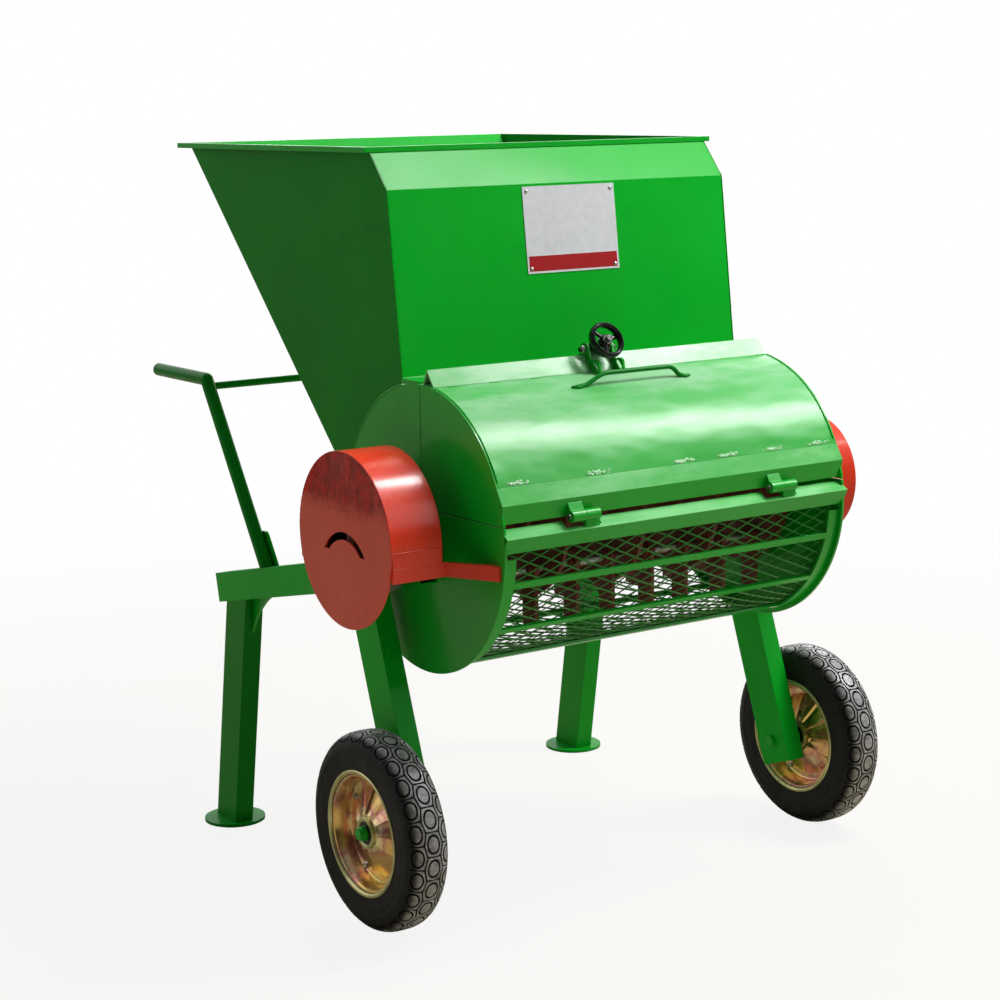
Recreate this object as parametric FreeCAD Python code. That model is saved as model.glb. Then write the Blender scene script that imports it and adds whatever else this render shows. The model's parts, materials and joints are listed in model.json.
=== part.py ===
import FreeCAD, Part
import math
import os

# All lengths are in millimetres. X runs along the drum shaft, -Y is the
# front of the machine, Z is up and the floor is at zero. Every shape is
# drawn with the drum axis at Y = 0 and moved to the final origin when saved.

# Driving sizes
axis_height = 719.0
drum_radius = 264.0
drum_half_width = 391.6
hopper_rim_top = 1401.0
rail_rear_length = 722.0
tyre_radius = 184.0

# Drum and cover
end_plate_thickness = 5.0
sheet_thickness = 3.0
shaft_hole_radius = 20.0
cover_seam_gap = 2.0
cover_plate_rise = 42.0
cover_top_deg = 90.6
cover_low_deg = 156.0
rear_skin_low_deg = -2.0
rear_skin_high_deg = 11.0

# Angle bars along the front edge of the drum, placed from the drum's front
# and from its axis
angle_thickness = 4.0
cover_angle_low_inset = 11.0
cover_angle_low_rise = 45.0
cover_angle_edge_inset = 5.0
cover_angle_edge_rise = 78.0
fixed_angle_top_inset = 14.0
fixed_angle_top_rise = 37.0
fixed_angle_edge_reach = 10.0
fixed_angle_edge_rise = 22.0
fixed_angle_low_inset = 5.0
fixed_angle_low_drop = 6.0

# Hinges of the cover
hinge_reach = 2.0
hinge_rise = 46.0
hinge_barrel_radius = 10.5
hinge_pin_radius = 5.0
hinge_knuckle_length = 30.0
hinge_knuckle_gap = 0.5
hinge_pin_overhang = 4.0
hinge_leaf_rise = 4.0
left_hinge_share = 0.57
right_hinge_share = 0.595
hinge_notch_overhang = 8.0
hinge_notch_depth = 9.0
running_gap = 0.05
leaf_start_share = 0.25
leaf_end_share = 0.95
pad_start_share = 0.15
pad_end_share = 0.8

# Ridge angle on the rear edge of the cover
ridge_end_inset = 5.6
ridge_rear_reach = 1.5
ridge_front_reach = 42.0
ridge_apex_reach = 17.0
ridge_apex_rise = 27.0
ridge_foot_depth = 6.0
ridge_thickness = 3.0

# Rod handle on the cover
cover_handle_reach = 100.0
cover_handle_end_left = -127.0
cover_handle_end_right = 148.0
cover_handle_foot_left = -97.0
cover_handle_foot_right = 122.0
cover_handle_bend_left = -57.0
cover_handle_bend_right = 106.0
cover_handle_rise = 21.0
cover_handle_radius = 4.0

# Sill between the cover and the hopper
sill_front_y = 7.0
sill_rear_y = 62.0
sill_thickness = 5.0
sill_seat = 4.0

# Screw clamp that pulls the cover against the sill
clamp_x = -7.0
clamp_tilt_deg = 30.0
clamp_origin_y = 45.0
clamp_origin_rise = 2.0
clamp_screw_radius = 6.0
clamp_travel = 12.0
clamp_nut_start = 12.0
clamp_nut_end = 29.5
clamp_nut_half = 10.0
clamp_tip_gap = 0.7
clamp_block_start = 60.0
clamp_block_end = 80.0
clamp_block_half_height = 8.0
clamp_block_half_width = 20.0
clamp_washer_radius = 13.0
clamp_washer_thickness = 3.0
clamp_face_gap = 0.3
lug_half_spacing = 25.0
lug_thickness = 5.0
lug_toe_reach = 47.0
lug_toe_height = 21.0
lug_neck_reach = 19.0
lug_neck_height = 18.0
lug_boss_radius = 12.5
lug_root_depth = 14.0
lug_slot_reach = 33.0
lug_slot_height = 9.0
lug_slot_half_length = 6.0
lug_slot_radius = 3.5
stud_radius = 5.0
stud_nut_radius = 8.0
stud_nut_thickness = 7.0
stud_end = 3.0

# Handwheel on the clamp screw
wheel_hub_radius = 11.0
wheel_hub_length = 22.0
wheel_outer_radius = 36.5
wheel_rim_thickness = 8.0
wheel_rim_depth = 10.0
wheel_rim_chamfer = 2.5
wheel_plane_offset = 9.0
wheel_spoke_width = 9.0
wheel_spoke_depth = 5.0
wheel_spoke_count = 3

# Hopper
hopper_side_inset = 1.0
hopper_front_low_y = 60.0
hopper_bend_y = 98.6
hopper_bend_drop = 76.0
hopper_front_top_y = 162.0
hopper_rear_reach = 613.0
hopper_floor_reach = 56.0
hopper_floor_rise = 113.0
hopper_floor_end_inset = 24.0
hopper_floor_end_rise = 31.4
rim_thickness = 10.0
rim_side_overhang = 12.0
rim_front_overhang = 10.0
rim_rear_overhang = 32.0

# Screen under the drum
screen_seat_gap = 0.3
screen_thickness = 3.0
screen_start_deg = 184.0
screen_end_deg = 356.0
screen_panel_count = 6
screen_rows = 3
screen_columns = 14
screen_end_inset = 9.6
screen_edge = 18.0
screen_panel_gap = 0.3
diamond_half_width_share = 0.38
diamond_half_height_share = 0.36
hoop_inset = 8.0
hoop_thickness = 5.5
hoop_width = 25.0
screen_bar_degs = (195.3, 217.9, 244.0, 270.0, 296.0, 322.1, 344.7)
screen_bar_width = 12.0

# Side rails
rail_tilt_deg = 12.33
rail_height = 60.0
rail_width = 40.0
rail_drum_gap = 28.4
rail_front_length = 75.0
tube_wall = 3.0
bearing_height = 36.5

# Legs and feet
leg_depth = 80.0
axle_reach = 28.0
front_leg_top = 141.0
front_leg_below_axle = 46.0
rear_leg_end_gap = 77.0
rear_foot_inset = 31.0
foot_radius = 63.0
foot_thickness = 6.0
gusset_reach = 75.0
gusset_thickness = 6.0
gusset_curve_share = 0.22
cross_beam_end_gap = 22.0
cross_beam_width = 50.0
cross_beam_drop = 8.0
cross_beam_depth = 44.0
front_bracket_start = -55.0
rear_bracket_start = 110.0
bracket_length = 35.0
bracket_drop = 12.0
bracket_depth = 34.0

# Wheels and axles
wheel_rail_reach = 75.0
tyre_half_width = 43.0
tyre_crown_half_width = 15.0
tyre_tread_half_width = 29.0
tyre_tread_height = 5.0
tyre_shoulder_half_width = 39.5
tyre_shoulder_height = 19.0
tyre_side_height = 42.0
tyre_low_side_half_width = 41.0
tyre_low_side_height = 64.0
tyre_bead_half_width = 35.0
tyre_bead_radius = 106.0
tyre_wall = 8.0
rim_flange_radius = 116.0
rim_sheet = 3.0
rim_well_radius = 100.0
rim_cone_foot_radius = 80.0
rim_cone_top_radius = 32.0
rim_cone_reach = 24.0
hub_radius = 22.0
hub_half_length = 32.0
hub_ring_radius = 29.0
axle_radius = 10.0
axle_overhang = 14.0
axle_inner_end = 8.0
axle_nut_radius = 15.0
axle_nut_thickness = 10.0
axle_collar_radius = 16.0
part_gap = 0.4
rim_bolt_circle_radius = 90.0
rim_bolt_radius = 4.0
rim_bolt_head_radius = 6.5
rim_bolt_head = 5.0
rim_bolt_count = 4
rim_bolt_turn_share = 0.33

# Rotor
rotor_body_radius = 30.0
rotor_end_gap = 33.6
journal_radius = 12.5
journal_reach = 102.0
rotor_disc_radius = 150.0
rotor_disc_thickness = 8.0
rotor_disc_inset = 8.0
rotor_disc_count = 5
pin_circle_radius = 118.0
pin_radius = 8.0
pin_degs = (45.0, 135.0, 225.0, 315.0)
hammer_width = 40.0
hammer_thickness = 8.0
hammer_tip_gap = 27.0
hammer_sleeve_radius = 14.0
hammer_sleeve_length = 24.0
hammer_first_share = 0.126
hammer_second_share = 0.594
hammer_row_share = 0.0914

# Bearings
housing_half_width = 19.0
housing_base_half_length = 70.0
housing_base_height = 15.0
housing_round_radius = 35.0
housing_bore_radius = 26.0
insert_half_width = 17.0
bearing_bolt_spacing = 105.0
bearing_bolt_radius = 6.0
bearing_bolt_head_radius = 9.5
bearing_bolt_head = 8.0

# Pulleys and their guards
left_pulley_radius = 102.0
right_pulley_radius = 78.0
pulley_rail_reach = 36.0
pulley_width = 58.0
first_groove_share = 0.24
second_groove_share = 0.76
pulley_groove_half_width = 8.0
pulley_groove_depth = 14.0
pulley_rim_thickness = 24.0
pulley_web_half = 7.0
pulley_hub_radius = 28.0
left_guard_radius = 159.5
right_guard_radius = 121.0
guard_outer_reach = 116.0
left_guard_inner_reach = 12.0
right_guard_inner_reach = 24.0
guard_sheet = 3.0
guard_skirt_drop = 27.0
guard_flange_drop = 53.0
guard_flange_thickness = 6.0
guard_flange_reach = 6.0
guard_slot_half_chord = 71.0
guard_slot_foot = -23.0
guard_slot_top = 15.0
guard_slot_width = 14.0
guard_arm_thickness = 6.0
guard_arm_end_inset = 12.0
guard_arm_depth = 24.0
guard_tab_depth = 20.0
guard_foot_place = 100.0
guard_foot_length = 34.0
guard_foot_top = 4.0
guard_foot_low = 48.0

# Push handle
handle_radius = 13.5
handle_wall = 2.5
handle_foot_gap = 190.0
handle_bend_reach = 20.0
handle_grip_rise = 206.0
handle_grip_length = 223.0
crossbar_radius = 7.5
crossbar_drop = 15.0
ear_width = 34.0
ear_height = 60.0
ear_thickness = 6.0

# Places worked out from the sizes above
drum_top = axis_height + drum_radius
cover_plate_low = axis_height + cover_plate_rise
hinge_y = -drum_radius - hinge_reach
hinge_z = axis_height + hinge_rise
hinge_centres = (-left_hinge_share * drum_half_width, right_hinge_share * drum_half_width)
ridge_half_length = drum_half_width - ridge_end_inset
ridge_rear_y = -ridge_rear_reach
ridge_front_y = -ridge_front_reach
ridge_apex_y = -ridge_apex_reach
ridge_apex_z = drum_top + ridge_apex_rise
sill_top = drum_top + sill_thickness
clamp_origin_z = drum_top + clamp_origin_rise
hopper_half_width = drum_half_width - hopper_side_inset
hopper_bend_z = hopper_rim_top - hopper_bend_drop
hopper_rear_top_y = drum_radius + hopper_rear_reach
hopper_floor_y = drum_radius + hopper_floor_reach
hopper_floor_z = axis_height + hopper_floor_rise
hopper_floor_end_y = drum_radius - hopper_floor_end_inset
hopper_floor_end_z = axis_height + hopper_floor_end_rise
hoop_outer_radius = drum_radius - hoop_inset
hoop_inner_radius = hoop_outer_radius - hoop_thickness
screen_radius = hoop_inner_radius - screen_seat_gap
screen_half_width = drum_half_width - screen_end_inset
rail_x = drum_half_width + rail_drum_gap + rail_width / 2
rear_leg_top = rail_rear_length - rear_leg_end_gap
rear_foot_y = rail_rear_length - rear_foot_inset
cross_beam_end = rail_rear_length - cross_beam_end_gap
cross_beam_start = cross_beam_end - cross_beam_width
bracket_starts = (front_bracket_start, rear_bracket_start)
wheel_x = rail_x + wheel_rail_reach
axle_y = -axle_reach
axle_height = tyre_radius
rotor_half_length = drum_half_width - rotor_end_gap
rotor_disc_step = (rotor_half_length - rotor_disc_inset) * 2 / (rotor_disc_count - 1)
journal_end = rail_x + journal_reach
hammer_reach = screen_radius - pin_circle_radius - hammer_tip_gap
pulley_inner_x = rail_x + pulley_rail_reach
pulley_outer_x = pulley_inner_x + pulley_width
guard_outer_x = rail_x + guard_outer_reach
guard_flange_inner_x = rail_x + guard_flange_reach
guard_skirt_low = axis_height - guard_skirt_drop
guard_flange_low = axis_height - guard_flange_drop
handle_foot = rail_rear_length - handle_foot_gap
handle_bend_y = rail_rear_length + handle_bend_reach
handle_grip_z = axis_height + handle_grip_rise
handle_grip_end_y = handle_bend_y + handle_grip_length

# Long enough to cut right across any part
cut_reach = 2000.0


def point(x, y, z):
    return FreeCAD.Vector(x, y, z)


def block(x_low, x_high, y_low, y_high, z_low, z_high):
    size = (x_high - x_low, y_high - y_low, z_high - z_low)
    return Part.makeBox(size[0], size[1], size[2], point(x_low, y_low, z_low))


def plate(outline, x_low, x_high):
    """A flat shape drawn in the side view and given a thickness along X."""
    corners = [point(x_low, y, z) for y, z in outline]
    face = Part.Face(Part.makePolygon(corners + [corners[0]]))
    return face.extrude(point(x_high - x_low, 0, 0))


def disc(radius, x_low, x_high, y, z):
    return Part.makeCylinder(radius, x_high - x_low, point(x_low, y, z), point(1, 0, 0))


def ring(outer, inner, x_low, x_high, y, z):
    return disc(outer, x_low, x_high, y, z).cut(disc(inner, x_low, x_high, y, z))


def rod(start, end, radius):
    line = end.sub(start)
    return Part.makeCylinder(radius, line.Length, start, line)


def fuse(shapes):
    whole = shapes[0]
    for shape in shapes[1:]:
        whole = whole.fuse(shape)
    return whole.removeSplitter()


def mirrored(shape):
    return shape.mirror(point(0, 0, 0), point(1, 0, 0))


def polar(radius, angle_deg):
    """A side-view point at an angle from the rear, turning up and over."""
    turn = math.radians(angle_deg)
    return (radius * math.cos(turn), axis_height + radius * math.sin(turn))


def between(first, second, share):
    y = first[0] + (second[0] - first[0]) * share
    z = first[1] + (second[1] - first[1]) * share
    return (y, z)


def direction(first, second):
    length = math.hypot(second[0] - first[0], second[1] - first[1])
    return ((second[0] - first[0]) / length, (second[1] - first[1]) / length)


def strip(first, second, width, before, after):
    """The outline of a straight bar in the side view, lengthened at both ends."""
    along = direction(first, second)
    side = (-along[1] * width / 2, along[0] * width / 2)
    start = (first[0] - along[0] * before, first[1] - along[1] * before)
    end = (second[0] + along[0] * after, second[1] + along[1] * after)
    return [
        (start[0] + side[0], start[1] + side[1]),
        (end[0] + side[0], end[1] + side[1]),
        (end[0] - side[0], end[1] - side[1]),
        (start[0] - side[0], start[1] - side[1]),
    ]


def offset_corner(before, corner, after, distance):
    """The corner of a folded sheet moved to the left of its line."""
    if before is None:
        along = direction(corner, after)
        return (corner[0] - along[1] * distance, corner[1] + along[0] * distance)
    if after is None:
        along = direction(before, corner)
        return (corner[0] - along[1] * distance, corner[1] + along[0] * distance)
    first = direction(before, corner)
    second = direction(corner, after)
    normal = (-first[1] - second[1], first[0] + second[0])
    stretch = distance * 2 / (normal[0] ** 2 + normal[1] ** 2)
    return (corner[0] + normal[0] * stretch, corner[1] + normal[1] * stretch)


def folded(line, thickness, x_low, x_high):
    """A sheet folded along a line in the side view, thick on the line's left."""
    moved = []
    for index, corner in enumerate(line):
        before = line[index - 1] if index > 0 else None
        after = line[index + 1] if index + 1 < len(line) else None
        moved.append(offset_corner(before, corner, after, thickness))
    return plate(list(line) + moved[::-1], x_low, x_high)


def curved(outer, thickness, start_deg, end_deg, x_low, x_high):
    """A rolled sheet about the drum axis."""
    middle_deg = (start_deg + end_deg) / 2
    inner = outer - thickness
    marks = []
    for radius in (outer, inner):
        for angle in (start_deg, middle_deg, end_deg):
            y, z = polar(radius, angle)
            marks.append(point(x_low, y, z))
    edges = [
        Part.Arc(marks[0], marks[1], marks[2]).toShape(),
        Part.makeLine(marks[2], marks[5]),
        Part.Arc(marks[5], marks[4], marks[3]).toShape(),
        Part.makeLine(marks[3], marks[0]),
    ]
    face = Part.Face(Part.Wire(edges))
    return face.extrude(point(x_high - x_low, 0, 0))


def revolved(outline, y, z):
    """A round part about an axis along X from a list of (x, radius) points."""
    corners = [point(x, y, z + radius) for x, radius in outline]
    face = Part.Face(Part.makePolygon(corners + [corners[0]]))
    return face.revolve(point(0, y, z), point(1, 0, 0), 360)


# Frame

rail_turn = math.radians(rail_tilt_deg)
rail_along = (math.cos(rail_turn), -math.sin(rail_turn))
rail_up = (math.sin(rail_turn), math.cos(rail_turn))
rail_inner_x = rail_x - rail_width / 2
rail_outer_x = rail_x + rail_width / 2


def rail_point(distance, depth):
    """A point by its distance along the rail and its depth below the rail top."""
    rise = -bearing_height - depth
    y = rail_along[0] * distance + rail_up[0] * rise
    z = axis_height + rail_along[1] * distance + rail_up[1] * rise
    return (y, z)


def rail_box(start, end, top, bottom, x_low, x_high):
    outline = [
        rail_point(start, top), rail_point(end, top),
        rail_point(end, bottom), rail_point(start, bottom),
    ]
    return plate(outline, x_low, x_high)


def above_rail_bottom():
    return rail_box(-cut_reach, cut_reach, -cut_reach, rail_height, 0, cut_reach)


def below_rail_top():
    return rail_box(-cut_reach, cut_reach, 0, cut_reach, 0, cut_reach)


def side_rail():
    outer = rail_box(-rail_front_length, rail_rear_length, 0, rail_height,
                     rail_inner_x, rail_outer_x)
    inner = rail_box(-cut_reach, cut_reach, tube_wall, rail_height - tube_wall,
                     rail_inner_x + tube_wall, rail_outer_x - tube_wall)
    return outer.cut(inner)


def leg(low, high, below):
    outer = plate(strip(low, high, leg_depth, below, leg_depth), rail_inner_x, rail_outer_x)
    inner = plate(strip(low, high, leg_depth - tube_wall * 2, cut_reach, cut_reach),
                  rail_inner_x + tube_wall, rail_outer_x - tube_wall)
    return outer.cut(inner).cut(above_rail_bottom())


front_leg_low = (axle_y, axle_height)
front_leg_high = rail_point(front_leg_top, rail_height)
rear_leg_low = (rear_foot_y, foot_thickness)
rear_leg_high = rail_point(rear_leg_top, rail_height)


def axle_bar(radius):
    return disc(radius, rail_inner_x - axle_inner_end,
                wheel_x + hub_half_length + axle_overhang, axle_y, axle_height)


def front_leg():
    return leg(front_leg_low, front_leg_high, front_leg_below_axle).cut(axle_bar(axle_radius))


def rear_leg():
    shape = leg(rear_leg_low, rear_leg_high, leg_depth)
    return shape.cut(block(0, cut_reach, -cut_reach, cut_reach, -cut_reach, foot_thickness))


def foot_plate():
    return Part.makeCylinder(foot_radius, foot_thickness, point(rail_x, rear_foot_y, 0))


def gusset(low, high, side):
    """A plate with a hollow curved edge in the corner of a leg and the rail."""
    along = direction(high, low)
    half = leg_depth / 2 / abs(along[0] * rail_along[1] - along[1] * rail_along[0])
    corner = (high[0] + rail_along[0] * half * side, high[1] + rail_along[1] * half * side)
    rail_end = (corner[0] + rail_along[0] * gusset_reach * side,
                corner[1] + rail_along[1] * gusset_reach * side)
    leg_end = (corner[0] + along[0] * gusset_reach, corner[1] + along[1] * gusset_reach)
    middle = between(between(rail_end, leg_end, 1 / 2), corner, gusset_curve_share)
    x = rail_x - gusset_thickness / 2
    marks = [point(x, y, z) for y, z in (corner, rail_end, middle, leg_end)]
    edges = [
        Part.makeLine(marks[0], marks[1]),
        Part.Arc(marks[1], marks[2], marks[3]).toShape(),
        Part.makeLine(marks[3], marks[0]),
    ]
    face = Part.Face(Part.Wire(edges))
    return face.extrude(point(gusset_thickness, 0, 0))


def leg_gussets():
    front = gusset(front_leg_low, front_leg_high, 1)
    rear = gusset(rear_leg_low, rear_leg_high, -1)
    return [front, rear, mirrored(front), mirrored(rear)]


def rear_cross_beam():
    low = cross_beam_drop
    high = cross_beam_drop + cross_beam_depth
    outer = rail_box(cross_beam_start, cross_beam_end, low, high, -rail_inner_x, rail_inner_x)
    inner = rail_box(cross_beam_start + tube_wall, cross_beam_end - tube_wall,
                     low + tube_wall, high - tube_wall, -cut_reach, cut_reach)
    return outer.cut(inner)


def drum_brackets():
    made = []
    for start in bracket_starts:
        bar = rail_box(start, start + bracket_length, bracket_drop,
                       bracket_drop + bracket_depth, drum_half_width, rail_inner_x)
        made = made + [bar, mirrored(bar)]
    return made


# Drum

end_plate_inner_x = drum_half_width - end_plate_thickness


def cover_zone(gap):
    """The front upper quarter that belongs to the cover, plus a gap."""
    return block(-cut_reach, cut_reach, -cut_reach, gap - cover_seam_gap,
                 cover_plate_low - gap, cut_reach)


def fixed_angle_line():
    return [
        (fixed_angle_top_inset - drum_radius, axis_height + fixed_angle_top_rise),
        (-drum_radius - fixed_angle_edge_reach, axis_height + fixed_angle_edge_rise),
        (fixed_angle_low_inset - drum_radius, axis_height - fixed_angle_low_drop),
    ]


def fixed_angle():
    """The lower angle bar, notched in front of the two hinges."""
    shape = folded(fixed_angle_line(), angle_thickness, -drum_half_width, drum_half_width)
    half = hinge_knuckle_length + hinge_notch_overhang
    low = hinge_z - hinge_barrel_radius - hinge_notch_depth
    for centre in hinge_centres:
        shape = shape.cut(block(centre - half, centre + half, -cut_reach, 0, low, cut_reach))
    return shape


def end_plate():
    shape = disc(drum_radius, end_plate_inner_x, drum_half_width, 0, axis_height)
    hole = disc(shaft_hole_radius, 0, cut_reach, 0, axis_height)
    shape = shape.cut(hole).cut(cover_zone(cover_seam_gap)).cut(fixed_angle())
    return shape


def rear_skin():
    return curved(drum_radius, sheet_thickness, rear_skin_low_deg, rear_skin_high_deg,
                  -end_plate_inner_x, end_plate_inner_x)


def sill():
    bar = block(-drum_half_width, drum_half_width, sill_front_y, sill_rear_y,
                drum_top - sill_seat, sill_top)
    return bar.cut(drum_round())


def screen_panel(index):
    step = (screen_end_deg - screen_start_deg) / screen_panel_count
    first = polar(screen_radius, screen_start_deg + step * index)
    second = polar(screen_radius, screen_start_deg + step * (index + 1))
    chord = math.hypot(second[0] - first[0], second[1] - first[1])
    fold = screen_thickness * math.tan(math.radians(step / 2))
    length = chord - screen_panel_gap - fold * 2
    panel = Part.makeBox(screen_half_width * 2, length, screen_thickness,
                         point(-screen_half_width, 0, 0))
    pitch_x = (screen_half_width - screen_edge) * 2 / screen_columns
    pitch_y = length / screen_rows
    half_x = pitch_x * diamond_half_width_share
    half_y = pitch_y * diamond_half_height_share
    holes = []
    for row in range(screen_rows):
        y = pitch_y * (row + 1 / 2)
        for column in range(screen_columns):
            x = -screen_half_width + screen_edge + pitch_x * (column + 1 / 2)
            marks = [point(x - half_x, y, 0), point(x, y - half_y, 0),
                     point(x + half_x, y, 0), point(x, y + half_y, 0)]
            face = Part.Face(Part.makePolygon(marks + [marks[0]]))
            holes.append(face.extrude(point(0, 0, screen_thickness)))
    panel = panel.cut(Part.makeCompound(holes))
    along = direction(first, second)
    turn_deg = math.degrees(math.atan2(along[1], along[0]))
    panel.rotate(point(0, 0, 0), point(1, 0, 0), turn_deg)
    start = between(first, second, (chord - length) / chord / 2)
    panel.translate(point(0, start[0], start[1]))
    return panel


def screen_panels():
    return [screen_panel(index) for index in range(screen_panel_count)]


def hoop():
    return curved(hoop_outer_radius, hoop_outer_radius - hoop_inner_radius,
                  screen_start_deg, screen_end_deg,
                  end_plate_inner_x - hoop_width, end_plate_inner_x)


def screen_hoops():
    return [hoop(), mirrored(hoop())]


def screen_bar(angle_deg):
    inner = end_plate_inner_x - hoop_width
    low = polar(hoop_inner_radius, angle_deg)
    high = polar(hoop_outer_radius, angle_deg)
    return plate(strip(low, high, screen_bar_width, 0, 0), -inner, inner)


def screen_bars():
    return [screen_bar(angle) for angle in screen_bar_degs]


# Hopper

hopper_inner_x = hopper_half_width - sheet_thickness


def drum_round():
    return disc(drum_radius, -cut_reach, cut_reach, 0, axis_height)


def below_sill_top():
    return block(-cut_reach, cut_reach, -cut_reach, sill_rear_y, 0, sill_top)


def hopper_front_line():
    return [
        (hopper_front_top_y, hopper_rim_top),
        (hopper_bend_y, hopper_bend_z),
        (hopper_front_low_y, sill_top),
    ]


def hopper_floor_line():
    return [
        (hopper_floor_end_y, hopper_floor_end_z),
        (hopper_floor_y, hopper_floor_z),
        (hopper_rear_top_y, hopper_rim_top),
    ]


def hopper_side():
    outline = hopper_front_line() + hopper_floor_line()
    shape = plate(outline, hopper_inner_x, hopper_half_width)
    return shape.cut(drum_round()).cut(below_sill_top())


def hopper_front_sheet():
    shape = folded(hopper_front_line(), sheet_thickness, -hopper_inner_x, hopper_inner_x)
    return shape.cut(block(-cut_reach, cut_reach, -cut_reach, cut_reach, 0, sill_top))


def hopper_back_sheet():
    shape = folded(hopper_floor_line(), sheet_thickness, -hopper_inner_x, hopper_inner_x)
    top = block(-cut_reach, cut_reach, -cut_reach, cut_reach, hopper_rim_top, cut_reach)
    return shape.cut(drum_round()).cut(top)


def hopper_rim():
    """Four flat bars round the outside of the hopper's mouth."""
    low = hopper_rim_top - rim_thickness
    front = hopper_front_top_y - rim_front_overhang
    rear = hopper_rear_top_y + rim_rear_overhang
    outer = hopper_half_width + rim_side_overhang
    side = block(hopper_half_width, outer, front, rear, low, hopper_rim_top)
    inside = plate(hopper_front_line() + hopper_floor_line(),
                   -hopper_half_width, hopper_half_width)
    across = [
        block(-hopper_half_width, hopper_half_width, front, hopper_front_top_y,
              low, hopper_rim_top),
        block(-hopper_half_width, hopper_half_width, hopper_rear_top_y - rim_thickness,
              rear, low, hopper_rim_top),
    ]
    return [side, mirrored(side)] + [bar.cut(inside) for bar in across]


# Cover

def cover_angle_line():
    top = polar(drum_radius, cover_low_deg)
    return [
        top,
        (cover_angle_edge_inset - drum_radius, axis_height + cover_angle_edge_rise),
        (cover_angle_low_inset - drum_radius, axis_height + cover_angle_low_rise),
    ]


def cover_hinge_angle():
    return folded(cover_angle_line(), angle_thickness, -drum_half_width, drum_half_width)


def cover_skin():
    shape = curved(drum_radius, sheet_thickness, cover_top_deg, cover_low_deg,
                   -end_plate_inner_x, end_plate_inner_x)
    return shape.cut(cover_hinge_angle())


def cover_end():
    shape = disc(drum_radius, end_plate_inner_x, drum_half_width, 0, axis_height)
    return shape.common(cover_zone(0)).cut(cover_hinge_angle())


def ridge_line():
    low = drum_top - ridge_foot_depth
    return [(ridge_rear_y, low), (ridge_apex_y, ridge_apex_z), (ridge_front_y, low)]


def cover_ridge_angle():
    shape = folded(ridge_line(), ridge_thickness, -ridge_half_length, ridge_half_length)
    return shape.cut(drum_round())


def cover_handle():
    """A bent rod whose two flattened ends lie along the cover's skin."""
    y = -cover_handle_reach
    skin_z = axis_height + math.sqrt(drum_radius ** 2 - y ** 2)
    top_z = skin_z + cover_handle_rise
    path = [
        point(cover_handle_end_left, y, skin_z),
        point(cover_handle_foot_left, y, skin_z),
        point(cover_handle_bend_left, y, top_z),
        point(cover_handle_bend_right, y, top_z),
        point(cover_handle_foot_right, y, skin_z),
        point(cover_handle_end_right, y, skin_z),
    ]
    pieces = [rod(path[i], path[i + 1], cover_handle_radius) for i in range(len(path) - 1)]
    pieces = pieces + [Part.makeSphere(cover_handle_radius, bend) for bend in path]
    return fuse(pieces).cut(drum_round())


def knuckle(x_low, x_high, outline):
    barrel = disc(hinge_barrel_radius, x_low, x_high, hinge_y, hinge_z)
    leaf = plate(outline, x_low, x_high)
    hole = disc(hinge_pin_radius + running_gap, x_low, x_high, hinge_y, hinge_z)
    return barrel.fuse(leaf).cut(hole).removeSplitter()


def moving_knuckles():
    line = cover_angle_line()
    outline = [
        between(line[1], line[2], leaf_start_share),
        between(line[1], line[2], leaf_end_share),
        (hinge_y, hinge_z),
        (hinge_y - hinge_leaf_rise, hinge_z + hinge_leaf_rise),
    ]
    made = []
    for centre in hinge_centres:
        low = centre - hinge_knuckle_length
        made.append(knuckle(low, centre - hinge_knuckle_gap / 2, outline))
    return made


def fixed_knuckles():
    line = fixed_angle_line()
    outline = [
        between(line[1], line[0], pad_start_share),
        between(line[1], line[0], pad_end_share),
        (hinge_y + hinge_leaf_rise, hinge_z),
        (hinge_y - hinge_leaf_rise, hinge_z),
    ]
    made = []
    for centre in hinge_centres:
        high = centre + hinge_knuckle_length
        made.append(knuckle(centre + hinge_knuckle_gap / 2, high, outline))
    return made


def hinge_pins():
    made = []
    for centre in hinge_centres:
        low = centre - hinge_knuckle_length - hinge_pin_overhang
        high = centre + hinge_knuckle_length + hinge_pin_overhang
        made.append(disc(hinge_pin_radius, low, high, hinge_y, hinge_z))
    return made


# Screw clamp

clamp_turn = math.radians(clamp_tilt_deg)
clamp_along = (-math.cos(clamp_turn), math.sin(clamp_turn))


def clamp_point(distance, x=clamp_x):
    y = clamp_origin_y + clamp_along[0] * distance
    z = clamp_origin_z + clamp_along[1] * distance
    return point(x, y, z)


def clamp_rod(radius, start, end):
    return rod(clamp_point(start), clamp_point(end), radius)


def clamp_bar(start, end, half_height, half_width):
    """A block centred on the screw axis."""
    first = clamp_point(start)
    second = clamp_point(end)
    outline = strip((first.y, first.z), (second.y, second.z), half_height * 2, 0, 0)
    return plate(outline, clamp_x - half_width, clamp_x + half_width)


def clamp_nut():
    shape = clamp_bar(clamp_nut_start, clamp_nut_end, clamp_nut_half, clamp_nut_half)
    hole = clamp_rod(clamp_screw_radius + running_gap, clamp_nut_start, clamp_nut_end)
    floor = block(-cut_reach, cut_reach, -cut_reach, cut_reach, 0, sill_top)
    return shape.cut(hole).cut(floor)


def stud_place():
    centre = clamp_point((clamp_block_start + clamp_block_end) / 2)
    return (centre.y, centre.z)


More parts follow.
